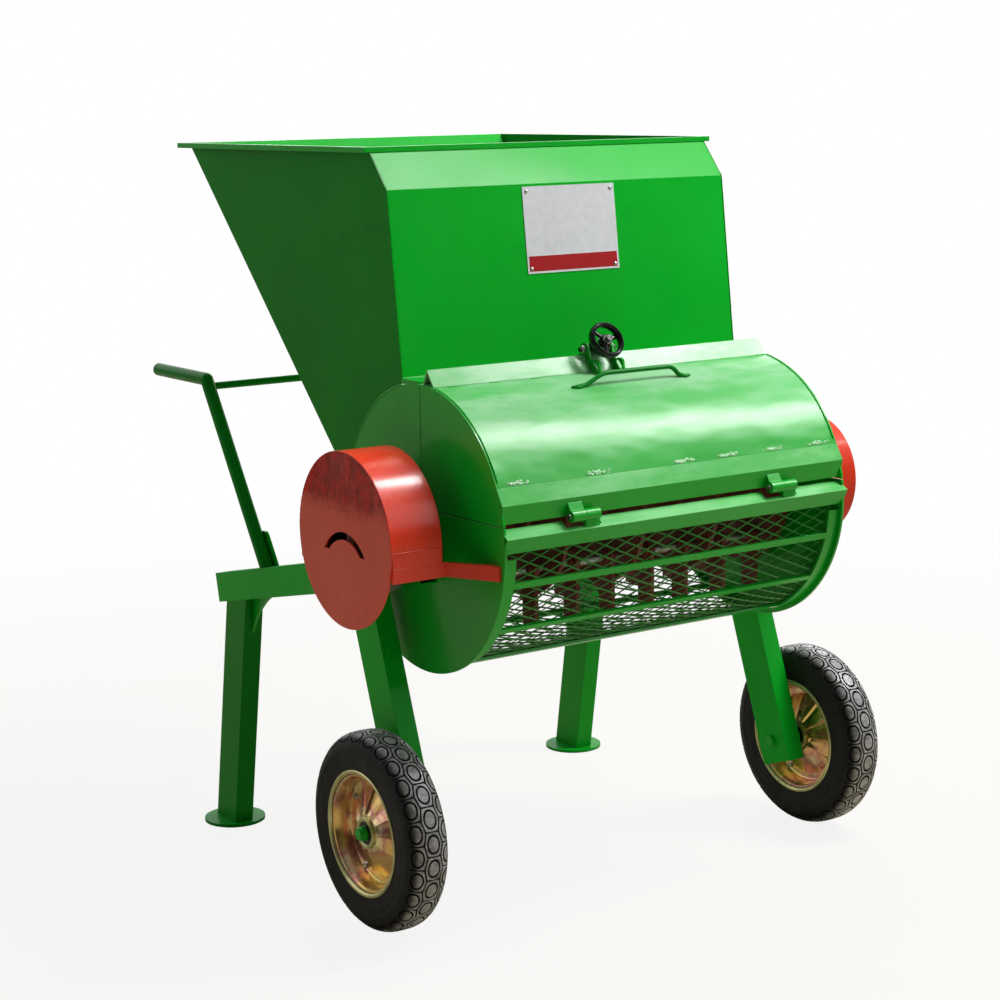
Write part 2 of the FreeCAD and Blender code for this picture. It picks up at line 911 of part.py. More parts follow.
def clamp_lug(x_low, x_high):
    y, z = stud_place()
    low = drum_top
    toe_y = ridge_apex_y - lug_toe_reach
    neck_y = ridge_apex_y - lug_neck_reach
    outline = [
        (toe_y, low - lug_root_depth),
        (toe_y, low),
        (toe_y + lug_slot_radius, low + lug_toe_height - lug_slot_radius),
        (toe_y + lug_slot_radius * 3, low + lug_toe_height),
        (neck_y, low + lug_neck_height),
        (y - lug_boss_radius, z),
        (y + lug_boss_radius, z),
        (y + lug_boss_radius, low - lug_root_depth),
    ]
    shape = plate(outline, x_low, x_high)
    shape = shape.fuse(disc(lug_boss_radius, x_low, x_high, y, z)).removeSplitter()
    ridge = plate(ridge_line(), x_low, x_high)
    hole = disc(stud_radius + running_gap, x_low, x_high, y, z)
    slot_y = ridge_apex_y - lug_slot_reach
    slot_z = low + lug_slot_height
    slot_low = (slot_y - lug_slot_half_length, slot_z - lug_slot_half_length)
    slot_high = (slot_y + lug_slot_half_length, slot_z + lug_slot_half_length)
    slot = plate(strip(slot_low, slot_high, lug_slot_radius * 2, 0, 0), x_low, x_high)
    slot = slot.fuse(disc(lug_slot_radius, x_low, x_high, slot_low[0], slot_low[1]))
    slot = slot.fuse(disc(lug_slot_radius, x_low, x_high, slot_high[0], slot_high[1]))
    return shape.cut(ridge).cut(drum_round()).cut(hole).cut(slot)


def clamp_lugs():
    right = clamp_x + lug_half_spacing
    left = clamp_x - lug_half_spacing
    return [
        clamp_lug(left - lug_thickness, left),
        clamp_lug(right, right + lug_thickness),
    ]


def clamp_block():
    y, z = stud_place()
    body = clamp_bar(clamp_block_start, clamp_block_end, clamp_block_half_height,
                     clamp_block_half_width)
    reach = lug_half_spacing + lug_thickness + stud_nut_thickness + stud_end
    stud = disc(stud_radius, clamp_x - reach, clamp_x + reach, y, z)
    hole = clamp_rod(clamp_screw_radius + running_gap, clamp_block_start, clamp_block_end)
    return body.fuse(stud).cut(hole)


def clamp_stud_nuts():
    y, z = stud_place()
    low = lug_half_spacing + lug_thickness
    high = low + stud_nut_thickness
    outer = stud_radius + running_gap
    return [
        ring(stud_nut_radius, outer, clamp_x - high, clamp_x - low, y, z),
        ring(stud_nut_radius, outer, clamp_x + low, clamp_x + high, y, z),
    ]


washer_start = clamp_block_end + clamp_travel + clamp_face_gap
washer_end = washer_start + clamp_washer_thickness
hub_start = washer_end + clamp_face_gap


def clamp_washer():
    outer = clamp_rod(clamp_washer_radius, washer_start, washer_end)
    hole = clamp_rod(clamp_screw_radius + running_gap, washer_start, washer_end)
    return outer.cut(hole)


def clamp_screw():
    return clamp_rod(clamp_screw_radius, clamp_nut_end + clamp_tip_gap,
                     hub_start + wheel_hub_length)


def handwheel():
    """A three-spoke wheel whose deep rim has bevelled edges."""
    hub = clamp_rod(wheel_hub_radius, hub_start, hub_start + wheel_hub_length)
    centre = clamp_point(hub_start + wheel_plane_offset)
    half = wheel_rim_depth / 2
    inner = wheel_outer_radius - wheel_rim_thickness
    outline = [
        (-half, inner + wheel_rim_chamfer), (-half, wheel_outer_radius - wheel_rim_chamfer),
        (wheel_rim_chamfer - half, wheel_outer_radius),
        (half - wheel_rim_chamfer, wheel_outer_radius),
        (half, wheel_outer_radius - wheel_rim_chamfer), (half, inner + wheel_rim_chamfer),
        (half - wheel_rim_chamfer, inner), (wheel_rim_chamfer - half, inner),
    ]
    pieces = [revolved(outline, 0, 0)]
    middle = (inner + wheel_outer_radius) / 2
    spoke = block(-wheel_spoke_depth / 2, wheel_spoke_depth / 2, -wheel_spoke_width / 2,
                  wheel_spoke_width / 2, 0, middle)
    for index in range(wheel_spoke_count):
        turned = spoke.copy()
        turned.rotate(point(0, 0, 0), point(1, 0, 0), 360 * index / wheel_spoke_count)
        pieces.append(turned)
    shape = fuse(pieces)
    shape.rotate(point(0, 0, 0), point(0, 0, 1), -90)
    shape.rotate(point(0, 0, 0), point(1, 0, 0), -clamp_tilt_deg)
    shape.translate(centre)
    hole = clamp_rod(clamp_screw_radius, hub_start, hub_start + wheel_hub_length)
    return fuse([shape, hub]).cut(hole)


# Rotor

def rotor_shaft():
    core = disc(rotor_body_radius, -rotor_half_length, rotor_half_length, 0, axis_height)
    journals = disc(journal_radius, -journal_end, journal_end, 0, axis_height)
    return core.fuse(journals)


def pin_place(angle_deg):
    return polar(pin_circle_radius, angle_deg)


def rotor_disc(centre):
    low = centre - rotor_disc_thickness / 2
    high = centre + rotor_disc_thickness / 2
    shape = ring(rotor_disc_radius, rotor_body_radius, low, high, 0, axis_height)
    for angle in pin_degs:
        y, z = pin_place(angle)
        shape = shape.cut(disc(pin_radius, low, high, y, z))
    return shape


def rotor_disc_places():
    first = rotor_disc_inset - rotor_half_length
    return [first + rotor_disc_step * index for index in range(rotor_disc_count)]


def rotor_discs():
    return [rotor_disc(centre) for centre in rotor_disc_places()]


def hammer_pins():
    made = []
    for angle in pin_degs:
        y, z = pin_place(angle)
        made.append(disc(pin_radius, -rotor_half_length, rotor_half_length, y, z))
    return made


def hammer(x, angle_deg):
    """One beater hanging straight down from its pin."""
    y, z = pin_place(angle_deg)
    low = x - hammer_thickness / 2
    high = x + hammer_thickness / 2
    half = hammer_width / 2
    blade = block(low, high, y - half, y + half, z - hammer_reach, z)
    head = disc(half, low, high, y, z)
    sleeve = disc(hammer_sleeve_radius, x - hammer_sleeve_length / 2,
                  x + hammer_sleeve_length / 2, y, z)
    hole = disc(pin_radius + running_gap, x - hammer_sleeve_length / 2,
                x + hammer_sleeve_length / 2, y, z)
    return fuse([blade, head, sleeve]).cut(hole)


def hammer_row(row):
    made = []
    for centre in rotor_disc_places()[:-1]:
        for share in (hammer_first_share, hammer_second_share):
            x = centre + rotor_disc_step * (share + hammer_row_share * row)
            made.append(hammer(x, pin_degs[row]))
    return made


# Bearings

def bearing_housing():
    low = rail_x - housing_half_width
    high = rail_x + housing_half_width
    base = rail_box(-housing_base_half_length, housing_base_half_length,
                    -housing_base_height, 0, low, high)
    body = disc(housing_round_radius, low, high, 0, axis_height)
    neck = rail_box(-housing_round_radius, housing_round_radius,
                    -bearing_height, 0, low, high)
    bore = disc(housing_bore_radius, low, high, 0, axis_height)
    shape = fuse([base, neck, body]).cut(bore)
    for bolt in bearing_bolt_rods(bearing_bolt_radius):
        shape = shape.cut(bolt)
    return shape


def bearing_insert():
    return ring(housing_bore_radius, journal_radius + running_gap,
                rail_x - insert_half_width, rail_x + insert_half_width, 0, axis_height)


def rail_rod(distance, low, high, radius):
    start = rail_point(distance, -low)
    end = rail_point(distance, -high)
    return rod(point(rail_x, start[0], start[1]), point(rail_x, end[0], end[1]), radius)


def bearing_bolt_rods(radius):
    half = bearing_bolt_spacing / 2
    return [rail_rod(place, 0, housing_base_height, radius) for place in (-half, half)]


def bearing_bolts():
    made = []
    half = bearing_bolt_spacing / 2
    for place in (-half, half):
        stem = rail_rod(place, 0, housing_base_height, bearing_bolt_radius)
        head = rail_rod(place, housing_base_height,
                        housing_base_height + bearing_bolt_head, bearing_bolt_head_radius)
        bolt = stem.fuse(head)
        made = made + [bolt, mirrored(bolt)]
    return made


# Pulleys and guards

def pulley(radius):
    rim_inner = radius - pulley_rim_thickness
    middle = (pulley_inner_x + pulley_outer_x) / 2
    outline = [(pulley_inner_x, rim_inner), (pulley_inner_x, radius)]
    for share in (first_groove_share, second_groove_share):
        centre = pulley_inner_x + pulley_width * share
        outline = outline + [
            (centre - pulley_groove_half_width, radius),
            (centre, radius - pulley_groove_depth),
            (centre + pulley_groove_half_width, radius),
        ]
    outline = outline + [
        (pulley_outer_x, radius),
        (pulley_outer_x, rim_inner),
        (middle + pulley_web_half, rim_inner),
        (middle + pulley_web_half, pulley_hub_radius),
        (pulley_outer_x, pulley_hub_radius),
        (pulley_outer_x, journal_radius),
        (pulley_inner_x, journal_radius),
        (pulley_inner_x, pulley_hub_radius),
        (middle - pulley_web_half, pulley_hub_radius),
        (middle - pulley_web_half, rim_inner),
    ]
    return revolved(outline, 0, axis_height)


def pulleys():
    return [pulley(right_pulley_radius), mirrored(pulley(left_pulley_radius))]


def guard_slot():
    """The arched opening in the outer face of the left guard."""
    rise = guard_slot_top - guard_slot_foot
    chord = guard_slot_half_chord
    radius = (chord ** 2 + rise ** 2) / (rise * 2)
    centre_z = axis_height + guard_slot_top - radius
    low = guard_outer_x - guard_sheet
    outer = disc(radius, low, guard_outer_x, 0, centre_z)
    inner = disc(radius - guard_slot_width, low, guard_outer_x, 0, centre_z)
    floor = block(low, guard_outer_x, -radius, radius, 0, axis_height + guard_slot_foot)
    return outer.cut(inner).cut(floor)


def left_guard():
    """A round face over a half band that runs down into two straight skirts."""
    radius = left_guard_radius
    inner_x = rail_x + left_guard_inner_reach
    face_x = guard_outer_x - guard_sheet
    face = disc(radius, face_x, guard_outer_x, 0, axis_height).cut(guard_slot())
    band = ring(radius, radius - guard_sheet, inner_x, face_x, 0, axis_height)
    band = band.cut(block(0, cut_reach, -cut_reach, cut_reach, 0, axis_height))
    skirts = [
        block(inner_x, face_x, -radius, guard_sheet - radius, guard_skirt_low, axis_height),
        block(inner_x, face_x, radius - guard_sheet, radius, guard_skirt_low, axis_height),
    ]
    return mirrored(fuse([face, band] + skirts))


def right_guard():
    """A round cup open towards the rail."""
    inner_x = rail_x + right_guard_inner_reach
    face_x = guard_outer_x - guard_sheet
    face = disc(right_guard_radius, face_x, guard_outer_x, 0, axis_height)
    band = ring(right_guard_radius, right_guard_radius - guard_sheet, inner_x, face_x,
                0, axis_height)
    return fuse([face, band])


def guard_flange(side):
    """The flat bar under one skirt of the left guard."""
    outer = left_guard_radius
    inner = left_guard_radius - guard_flange_thickness
    y_low = min(outer * side, inner * side)
    y_high = max(outer * side, inner * side)
    return block(guard_flange_inner_x, guard_outer_x - guard_sheet, y_low, y_high,
                 guard_flange_low, guard_skirt_low)


def guard_foot(side):
    """The plate between the rail and the edge of the right guard's cup."""
    middle = guard_foot_place * side
    half = guard_foot_length / 2
    return rail_box(middle - half, middle + half, guard_foot_top, guard_foot_low,
                    rail_outer_x, rail_x + right_guard_inner_reach)


def guard_arm():
    """The tapered plate from the front flange to the end plate of the drum."""
    flange_y = guard_flange_thickness - left_guard_radius
    end_y = guard_arm_end_inset - drum_radius
    corners = [
        (guard_flange_inner_x, flange_y),
        (guard_flange_inner_x, flange_y - guard_flange_thickness),
        (drum_half_width + guard_arm_thickness, end_y),
        (drum_half_width, end_y),
        (drum_half_width, end_y + guard_arm_depth),
    ]
    marks = [point(x, y, guard_flange_low) for x, y in corners]
    face = Part.Face(Part.makePolygon(marks + [marks[0]]))
    return face.extrude(point(0, 0, guard_skirt_low - guard_flange_low))


def guard_tab():
    high = left_guard_radius - guard_flange_thickness
    low = high - guard_tab_depth
    shape = block(guard_flange_inner_x, guard_flange_inner_x + guard_arm_thickness,
                  low, high, 0, guard_skirt_low)
    return shape.cut(below_rail_top())


def guard_brackets():
    """The left guard's flange bars, front arm and rear tab, and the right guard's feet."""
    left = [guard_flange(-1), guard_flange(1), guard_arm(), guard_tab()]
    return [mirrored(shape) for shape in left] + [guard_foot(-1), guard_foot(1)]


# Push handle

def handle_path():
    foot = rail_point(handle_foot, 0)
    return [
        (foot[0], foot[1]),
        (handle_bend_y, handle_grip_z),
        (handle_grip_end_y, handle_grip_z),
    ]


def handle_solid(radius, short):
    foot, bend, end = handle_path()
    along = direction(foot, bend)
    start = point(rail_x, foot[0] - along[0] * radius * 2, foot[1] - along[1] * radius * 2)
    middle = point(rail_x, bend[0], bend[1])
    last = point(rail_x, end[0] - short, end[1])
    pieces = [rod(start, middle, radius), Part.makeSphere(radius, middle),
              rod(middle, last, radius)]
    return fuse(pieces)


def push_handle():
    outer = handle_solid(handle_radius, 0).cut(below_rail_top())
    return outer.cut(handle_solid(handle_radius - handle_wall, handle_wall))


def handle_crossbar():
    z = handle_grip_z - crossbar_drop
    y = handle_bend_y
    bar = disc(crossbar_radius, -rail_x, rail_x, y, z)
    solid = handle_solid(handle_radius, 0)
    return bar.cut(solid).cut(mirrored(solid))


def handle_ear():
    foot, bend, end = handle_path()
    along = direction(foot, bend)
    high = (foot[0] + along[0] * ear_height, foot[1] + along[1] * ear_height)
    x_high = rail_x - handle_radius
    x_low = x_high - ear_thickness
    shape = plate(strip(foot, high, ear_width, ear_width, 0), x_low, x_high)
    shape = shape.fuse(disc(ear_width / 2, x_low, x_high, high[0], high[1]))
    return shape.cut(below_rail_top()).removeSplitter()


def handle_ears():
    return [handle_ear(), mirrored(handle_ear())]


# Wheels

def tyre():
    """A hollow round-sided casing, open towards the rim."""
    profile = [
        (tyre_bead_half_width, tyre_bead_radius),
        (tyre_low_side_half_width, tyre_radius - tyre_low_side_height),
        (tyre_half_width, tyre_radius - tyre_side_height),
        (tyre_shoulder_half_width, tyre_radius - tyre_shoulder_height),
        (tyre_tread_half_width, tyre_radius - tyre_tread_height),
        (tyre_crown_half_width, tyre_radius),
    ]
    outer = [(half, radius) for half, radius in profile]
    outer = outer + [(-half, radius) for half, radius in profile[::-1]]
    inner = []
    for index, corner in enumerate(outer):
        before = outer[index - 1] if index > 0 else None
        after = outer[index + 1] if index + 1 < len(outer) else None
        inner.append(offset_corner(before, corner, after, tyre_wall))
    inner[0] = (tyre_bead_half_width - tyre_wall, tyre_bead_radius)
    inner[-1] = (tyre_wall - tyre_bead_half_width, tyre_bead_radius)
    outline = [(wheel_x + x, radius) for x, radius in outer + inner[::-1]]
    return revolved(outline, axle_y, axle_height)


def rim_half(side):
    """One pressed half of the split rim: flange, well, flat ring, cone and hub seat."""
    seat_reach = rim_cone_reach + rim_sheet
    marks = [
        (rim_cone_reach, hub_radius),
        (rim_cone_reach, rim_cone_top_radius),
        (0, rim_cone_foot_radius),
        (0, rim_well_radius),
        (tyre_bead_half_width, tyre_bead_radius),
        (tyre_bead_half_width + rim_sheet, rim_flange_radius),
        (tyre_bead_half_width + rim_sheet * 2, rim_flange_radius),
        (tyre_bead_half_width + rim_sheet, tyre_bead_radius - rim_sheet),
        (rim_sheet, rim_well_radius - rim_sheet),
        (rim_sheet, rim_cone_foot_radius + rim_sheet),
        (seat_reach, rim_cone_top_radius + rim_sheet),
        (seat_reach, hub_radius),
    ]
    outline = [(wheel_x + x * side, radius) for x, radius in marks]
    shape = revolved(outline, axle_y, axle_height)
    low = wheel_x - rim_sheet
    high = wheel_x + rim_sheet
    for y, z in rim_bolt_places():
        shape = shape.cut(disc(rim_bolt_radius, low, high, y, z))
    return shape


def rim_bolt_places():
    made = []
    for index in range(rim_bolt_count):
        turn = math.radians(360 * (index + rim_bolt_turn_share) / rim_bolt_count)
        made.append((axle_y + rim_bolt_circle_radius * math.cos(turn),
                     axle_height + rim_bolt_circle_radius * math.sin(turn)))
    return made


def wheel_rim():
    return [rim_half(1).cut(tyre()), rim_half(-1).cut(tyre())]


def wheel_hub():
    """The tube between the two rim halves, with a bearing ring at each end."""
    bore = axle_radius + running_gap
    end = hub_half_length
    seat = rim_cone_reach + rim_sheet
    half = [(end, hub_ring_radius), (seat, hub_ring_radius), (seat, hub_radius)]
    outline = [(-end, bore)] + [(-x, radius) for x, radius in half]
    outline = outline + half[::-1] + [(end, bore)]
    outline = [(wheel_x + x, radius) for x, radius in outline]
    return revolved(outline, axle_y, axle_height)


def rim_bolts():
    made = []
    for y, z in rim_bolt_places():
        stem = disc(rim_bolt_radius, wheel_x - rim_sheet, wheel_x + rim_sheet, y, z)
        for side in (-1, 1):
            near = wheel_x + rim_sheet * side
            far = near + rim_bolt_head * side
            stem = stem.fuse(disc(rim_bolt_head_radius, min(near, far), max(near, far), y, z))
        made.append(stem)
    return made


def axle():
    collar_end = wheel_x - hub_half_length - part_gap
    bar = axle_bar(axle_radius)
    collar = disc(axle_collar_radius, rail_outer_x, collar_end, axle_y, axle_height)
    return bar.fuse(collar)


def axle_nut():
    low = wheel_x + hub_half_length + part_gap
    return ring(axle_nut_radius, axle_radius, low, low + axle_nut_thickness,
                axle_y, axle_height)


# Saving

rear_reach = handle_grip_end_y
front_reach = hinge_barrel_radius - hinge_y
drum_y = (front_reach - rear_reach) / 2


def save(name, shapes):
    if not isinstance(shapes, list):
        shapes = [shapes]
    solids = []
    for shape in shapes:
        for solid in shape.Solids:
            moved = solid.copy()
            moved.translate(point(0, drum_y, 0))
            solids.append(moved)
    whole = solids[0] if len(solids) == 1 else Part.makeCompound(solids)
    whole.exportStep(os.path.join("parts", name + ".step"))
    print(name, len(solids), [solid.isValid() for solid in solids].count(False),
          round(whole.Volume / 1000))


def pair(shapes):
    """The same pieces on both sides of the machine."""
    if not isinstance(shapes, list):
        shapes = [shapes]
    return shapes + [mirrored(shape) for shape in shapes]


def save_pair(name, shapes):
    if not isinstance(shapes, list):
        shapes = [shapes]
    save("right_" + name, shapes)
    save("left_" + name, [mirrored(shape) for shape in shapes])


def save_frame():
    save("side_rails", pair(side_rail()))
    save("front_legs", pair(front_leg()))
    save("rear_legs", pair(rear_leg()))
    save("foot_plates", pair(foot_plate()))
    save("leg_gussets", leg_gussets())
    save("rear_cross_beam", rear_cross_beam())
    save("drum_brackets", drum_brackets())
    save("axles", pair(axle()))
    save("axle_nuts", pair(axle_nut()))
    save("push_handles", pair(push_handle()))
    save("handle_crossbar", handle_crossbar())
    save("handle_ears", handle_ears())


def save_drum():
    save("end_plates", pair(end_plate()))
    save("fixed_hinge_angle", fixed_angle())
    save("rear_skin", rear_skin())
    save("screen_panels", screen_panels())
    save("screen_hoops", screen_hoops())
    save("screen_bars", screen_bars())
    save("hopper_sill", sill())
    save("hopper_sides", pair(hopper_side()))
    save("hopper_front_sheet", hopper_front_sheet())
    save("hopper_back_sheet", hopper_back_sheet())
    save("hopper_rim", hopper_rim())


def save_cover():
    save("cover_skin", cover_skin())
    save("cover_ends", pair(cover_end()))
    save("cover_ridge_angle", cover_ridge_angle())
    save("cover_hinge_angle", cover_hinge_angle())
    save("cover_handle", cover_handle())
    save("hinge_moving_knuckles", moving_knuckles())
    save("hinge_fixed_knuckles", fixed_knuckles())
    save("hinge_pins", hinge_pins())
    save("clamp_nut", clamp_nut())
    save("clamp_lugs", clamp_lugs())
    save("clamp_block", clamp_block())
    save("clamp_stud_nuts", clamp_stud_nuts())
    save("clamp_washer", clamp_washer())
    save("clamp_screw", clamp_screw())
    save("handwheel", handwheel())


def save_rotor():
    save("rotor_shaft", rotor_shaft())
    save("rotor_discs", rotor_discs())
    save("hammer_pins", hammer_pins())
    for row in range(len(pin_degs)):
        save("hammer_row_" + str(row + 1), hammer_row(row))
    save("pulleys", pulleys())
    save("bearing_housings", pair(bearing_housing()))
    save("bearing_inserts", pair(bearing_insert()))
    save("bearing_bolts", bearing_bolts())
    save("left_guard", left_guard())
    save("right_guard", right_guard())
    save("guard_brackets", guard_brackets())


def save_wheels():
    save_pair("tyre", tyre())
    save_pair("rim", wheel_rim())
    save_pair("wheel_hub", wheel_hub())
    save_pair("rim_bolts", rim_bolts())


os.makedirs("parts", exist_ok=True)
save_frame()
save_drum()
save_cover()
save_rotor()
save_wheels()
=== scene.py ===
import bmesh
import bpy
import json
import math
import random
from mathutils import Matrix, Vector


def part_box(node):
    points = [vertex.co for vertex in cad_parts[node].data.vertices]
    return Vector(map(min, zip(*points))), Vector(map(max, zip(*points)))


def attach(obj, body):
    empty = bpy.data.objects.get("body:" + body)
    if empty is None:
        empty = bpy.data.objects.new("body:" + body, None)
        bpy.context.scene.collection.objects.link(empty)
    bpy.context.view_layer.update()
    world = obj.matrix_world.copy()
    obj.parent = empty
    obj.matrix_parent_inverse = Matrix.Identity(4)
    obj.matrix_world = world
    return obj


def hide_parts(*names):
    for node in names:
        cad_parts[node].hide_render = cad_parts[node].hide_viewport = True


# The machine is in metres: X along the drum shaft, -Y is the front, Z is up.

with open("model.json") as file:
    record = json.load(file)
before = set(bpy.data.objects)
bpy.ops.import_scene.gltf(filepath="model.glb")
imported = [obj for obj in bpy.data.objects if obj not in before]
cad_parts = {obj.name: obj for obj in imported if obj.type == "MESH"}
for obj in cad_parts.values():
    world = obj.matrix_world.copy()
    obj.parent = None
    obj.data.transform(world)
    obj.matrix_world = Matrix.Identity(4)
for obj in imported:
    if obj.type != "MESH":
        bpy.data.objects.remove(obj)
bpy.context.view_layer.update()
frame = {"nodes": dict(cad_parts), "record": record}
scene = bpy.context.scene
nodes = frame["nodes"]

# Places that the pieces below share, from the model's own sizes
drum_y = -0.34425
axis_z = 0.719
drum_radius = 0.264
drum_half = 0.3916
sill_top = 0.988
hopper_half = 0.3906
rail_x = 0.44
rail_tilt_deg = 12.33
bearing_height = 0.0365
wheel_x = 0.515
axle_ahead = 0.028
axle_y = drum_y - axle_ahead
axle_z = 0.184

# The front of the hopper in the side view, each point as (behind the drum's axis, height)
hopper_low = (0.06, sill_top)
hopper_bend = (0.0986, 1.325)
hopper_top = (0.162, 1.401)


# Camera

camera_x = -2.5111
camera_ahead = 3.3852
camera_z = 1.5002
camera_turn_deg = 34.076
camera_dip_deg = 10.356
camera_roll = -0.0165
camera_focus_px = 2247.7
picture_width_px = 1000
sensor_width = 36.0


def make_camera():
    turn = math.radians(camera_turn_deg)
    dip = math.radians(camera_dip_deg)
    ahead = Vector((math.sin(turn) * math.cos(dip), math.cos(turn) * math.cos(dip),
                    -math.sin(dip)))
    right = Vector((math.cos(turn), -math.sin(turn), 0))
    up = right.cross(ahead)
    side = right * math.cos(camera_roll) + up * math.sin(camera_roll)
    top = up * math.cos(camera_roll) - right * math.sin(camera_roll)
    data = bpy.data.cameras.new("camera")
    data.sensor_width = sensor_width
    data.lens = camera_focus_px / picture_width_px * sensor_width
    camera = bpy.data.objects.new("camera", data)
    scene.collection.objects.link(camera)
    aimed = Matrix((side, top, -ahead)).transposed().to_4x4()
    place = Vector((camera_x, drum_y - camera_ahead, camera_z))
    camera.matrix_world = Matrix.Translation(place) @ aimed
    scene.camera = camera


# Steps that the materials share

def new_material(name):
    material = bpy.data.materials.new(name)
    material.use_nodes = True
    tree = material.node_tree
    return material, tree, tree.nodes["Principled BSDF"]


def link(tree, source, target):
    tree.links.new(source, target)


def fill(tree, socket, value):
    """Sets a socket from another node's output, a colour or a number."""
    if isinstance(value, bpy.types.NodeSocket):
        link(tree, value, socket)
    elif isinstance(value, tuple):
        socket.default_value = (value[0], value[1], value[2], 1)
    else:
        socket.default_value = value


def feed(tree, shader, **values):
    """Sets the shader's sockets by name, with _ for a space."""
    for name, value in values.items():
        fill(tree, shader.inputs[name.replace("_", " ")], value)


def source_of(shader, name):
    return shader.inputs[name].links[0].from_socket


def coordinate(tree, kind="Object"):
    return tree.nodes.new("ShaderNodeTexCoord").outputs[kind]


def split(tree, source):
    node = tree.nodes.new("ShaderNodeSeparateXYZ")
    link(tree, source, node.inputs[0])
    return node.outputs


def noise(tree, scale, detail=3.0, rough=0.5, stretch=None):
    place = coordinate(tree)
    if stretch:
        mapping = tree.nodes.new("ShaderNodeMapping")
        mapping.inputs["Scale"].default_value = stretch
        link(tree, place, mapping.inputs["Vector"])
        place = mapping.outputs["Vector"]
    node = tree.nodes.new("ShaderNodeTexNoise")
    feed(tree, node, Scale=scale, Detail=detail, Roughness=rough, Vector=place)
    return node.outputs["Fac"]


def ramp(tree, source, *stops):
    """Colours along a value, each stop as (place, colour or shade of grey)."""
    node = tree.nodes.new("ShaderNodeValToRGB")
    band = node.color_ramp
    while len(band.elements) < len(stops):
        band.elements.new(0.5)
    for element, (place, color) in zip(band.elements, stops):
        element.position = place
        element.color = (*color, 1) if isinstance(color, tuple) else (color, color, color, 1)
    link(tree, source, node.inputs["Fac"])
    return node.outputs["Color"]


def mix(tree, share, first, second):
    node = tree.nodes.new("ShaderNodeMix")
    node.data_type = "RGBA"
    color_sockets = (0, 6, 7)
    for value, index in zip((share, first, second), color_sockets):
        fill(tree, node.inputs[index], value)
    return node.outputs[2]


def maths(tree, operation, first, second):
    node = tree.nodes.new("ShaderNodeMath")
    node.operation = operation
    fill(tree, node.inputs[0], first)
    fill(tree, node.inputs[1], second)
    return node.outputs[0]


def times(tree, first, second):
    return maths(tree, "MULTIPLY", first, second)


def plus(tree, first, second):
    return maths(tree, "ADD", first, second)


def vector_maths(tree, operation, first, second=None):
    node = tree.nodes.new("ShaderNodeVectorMath")
    node.operation = operation
    link(tree, first, node.inputs[0])
    if second:
        node.inputs[1].default_value = second
    return node.outputs["Value" if operation in ("LENGTH", "DOT_PRODUCT") else "Vector"]


def fade(tree, value, start, end, low=0.0, high=1.0):
    """A soft step from low to high while the value goes from start to end."""
    node = tree.nodes.new("ShaderNodeMapRange")
    node.interpolation_type = "SMOOTHSTEP"
    feed(tree, node, Value=value, From_Min=start, From_Max=end, To_Min=low, To_Max=high)
    return node.outputs["Result"]


def bump(tree, shader, layers, edge_radius=0.0):
    """Bumps laid on each other, each as (height, distance in metres, strength)."""
    last = None
    if edge_radius > 0:
        rounded = tree.nodes.new("ShaderNodeBevel")
        rounded.samples = 4
        rounded.inputs["Radius"].default_value = edge_radius
        last = rounded.outputs["Normal"]
    for height, distance, strength in layers:
        node = tree.nodes.new("ShaderNodeBump")
        feed(tree, node, Distance=distance, Strength=strength, Height=height)
        if last:
            link(tree, last, node.inputs["Normal"])
        last = node.outputs["Normal"]
    link(tree, last, shader.inputs["Normal"])


def spread(tree, scale, detail, rough, low, high):
    """Roughness that wanders between two values, each as (place in the noise, roughness)."""
    return ramp(tree, noise(tree, scale, detail, rough), low, high)


# Paint

paint_edge = 0.0016
wave_depth = 0.01
peel_depth = 0.0004
swell_depth = 0.05
paint_specular = 0.3
paint_coat = 0.22


def paint(name, tones, rough, wave=0.16, peel=0.12, swell=0.0, gloss=1.0, haze=0.1):
    """Gloss enamel on sheet steel: slow colour drift, a wavy sheet and orange peel."""
    material, tree, shader = new_material(name)
    low, middle, high = tones
    drift = noise(tree, 2.6, 4.0, 0.6)
    color = ramp(tree, drift, (0.3, low), (0.52, middle), (0.75, high))
    specks = ramp(tree, noise(tree, 160.0, 2.0), (0.66, 0.0), (0.72, 1.0))
    dull = ramp(tree, noise(tree, 9.0, 5.0, 0.65), (0.60, 0.0), (0.85, 0.35))
    color = mix(tree, dull, color, tuple(v * 0.55 for v in low))
    color = mix(tree, specks, color, tuple(v * 1.12 for v in middle))
    roughness = spread(tree, 7.0, 5.0, 0.6, (0.35, rough[0]), (0.7, rough[1]))
    feed(tree, shader, Base_Color=color, Roughness=roughness, Coat_Weight=paint_coat * gloss,
         Specular_IOR_Level=paint_specular * gloss, Coat_Roughness=haze)
    layers = [(noise(tree, 5.0, 2.0, 0.45), wave_depth, wave),
              (noise(tree, 420.0, 2.0), peel_depth, peel)]
    if swell > 0:
        layers.append((noise(tree, 3.2, 3.0, 0.5, (0.8, 1.6, 1.6)), swell_depth, swell))
    bump(tree, shader, layers, paint_edge)
    return material


brush_edge_z = (0.800, 0.850)
brush_ragged = 0.09
brush_ripple = 0.012
thick_red = ((0.42, (0.26, 0.001, 0.001)), (0.60, (0.62, 0.005, 0.004)))
# A greyish brown on the lower part of the guard's flat side: painted reflection haze.
red_painted_haze = (0.30, 0.10, 0.07)


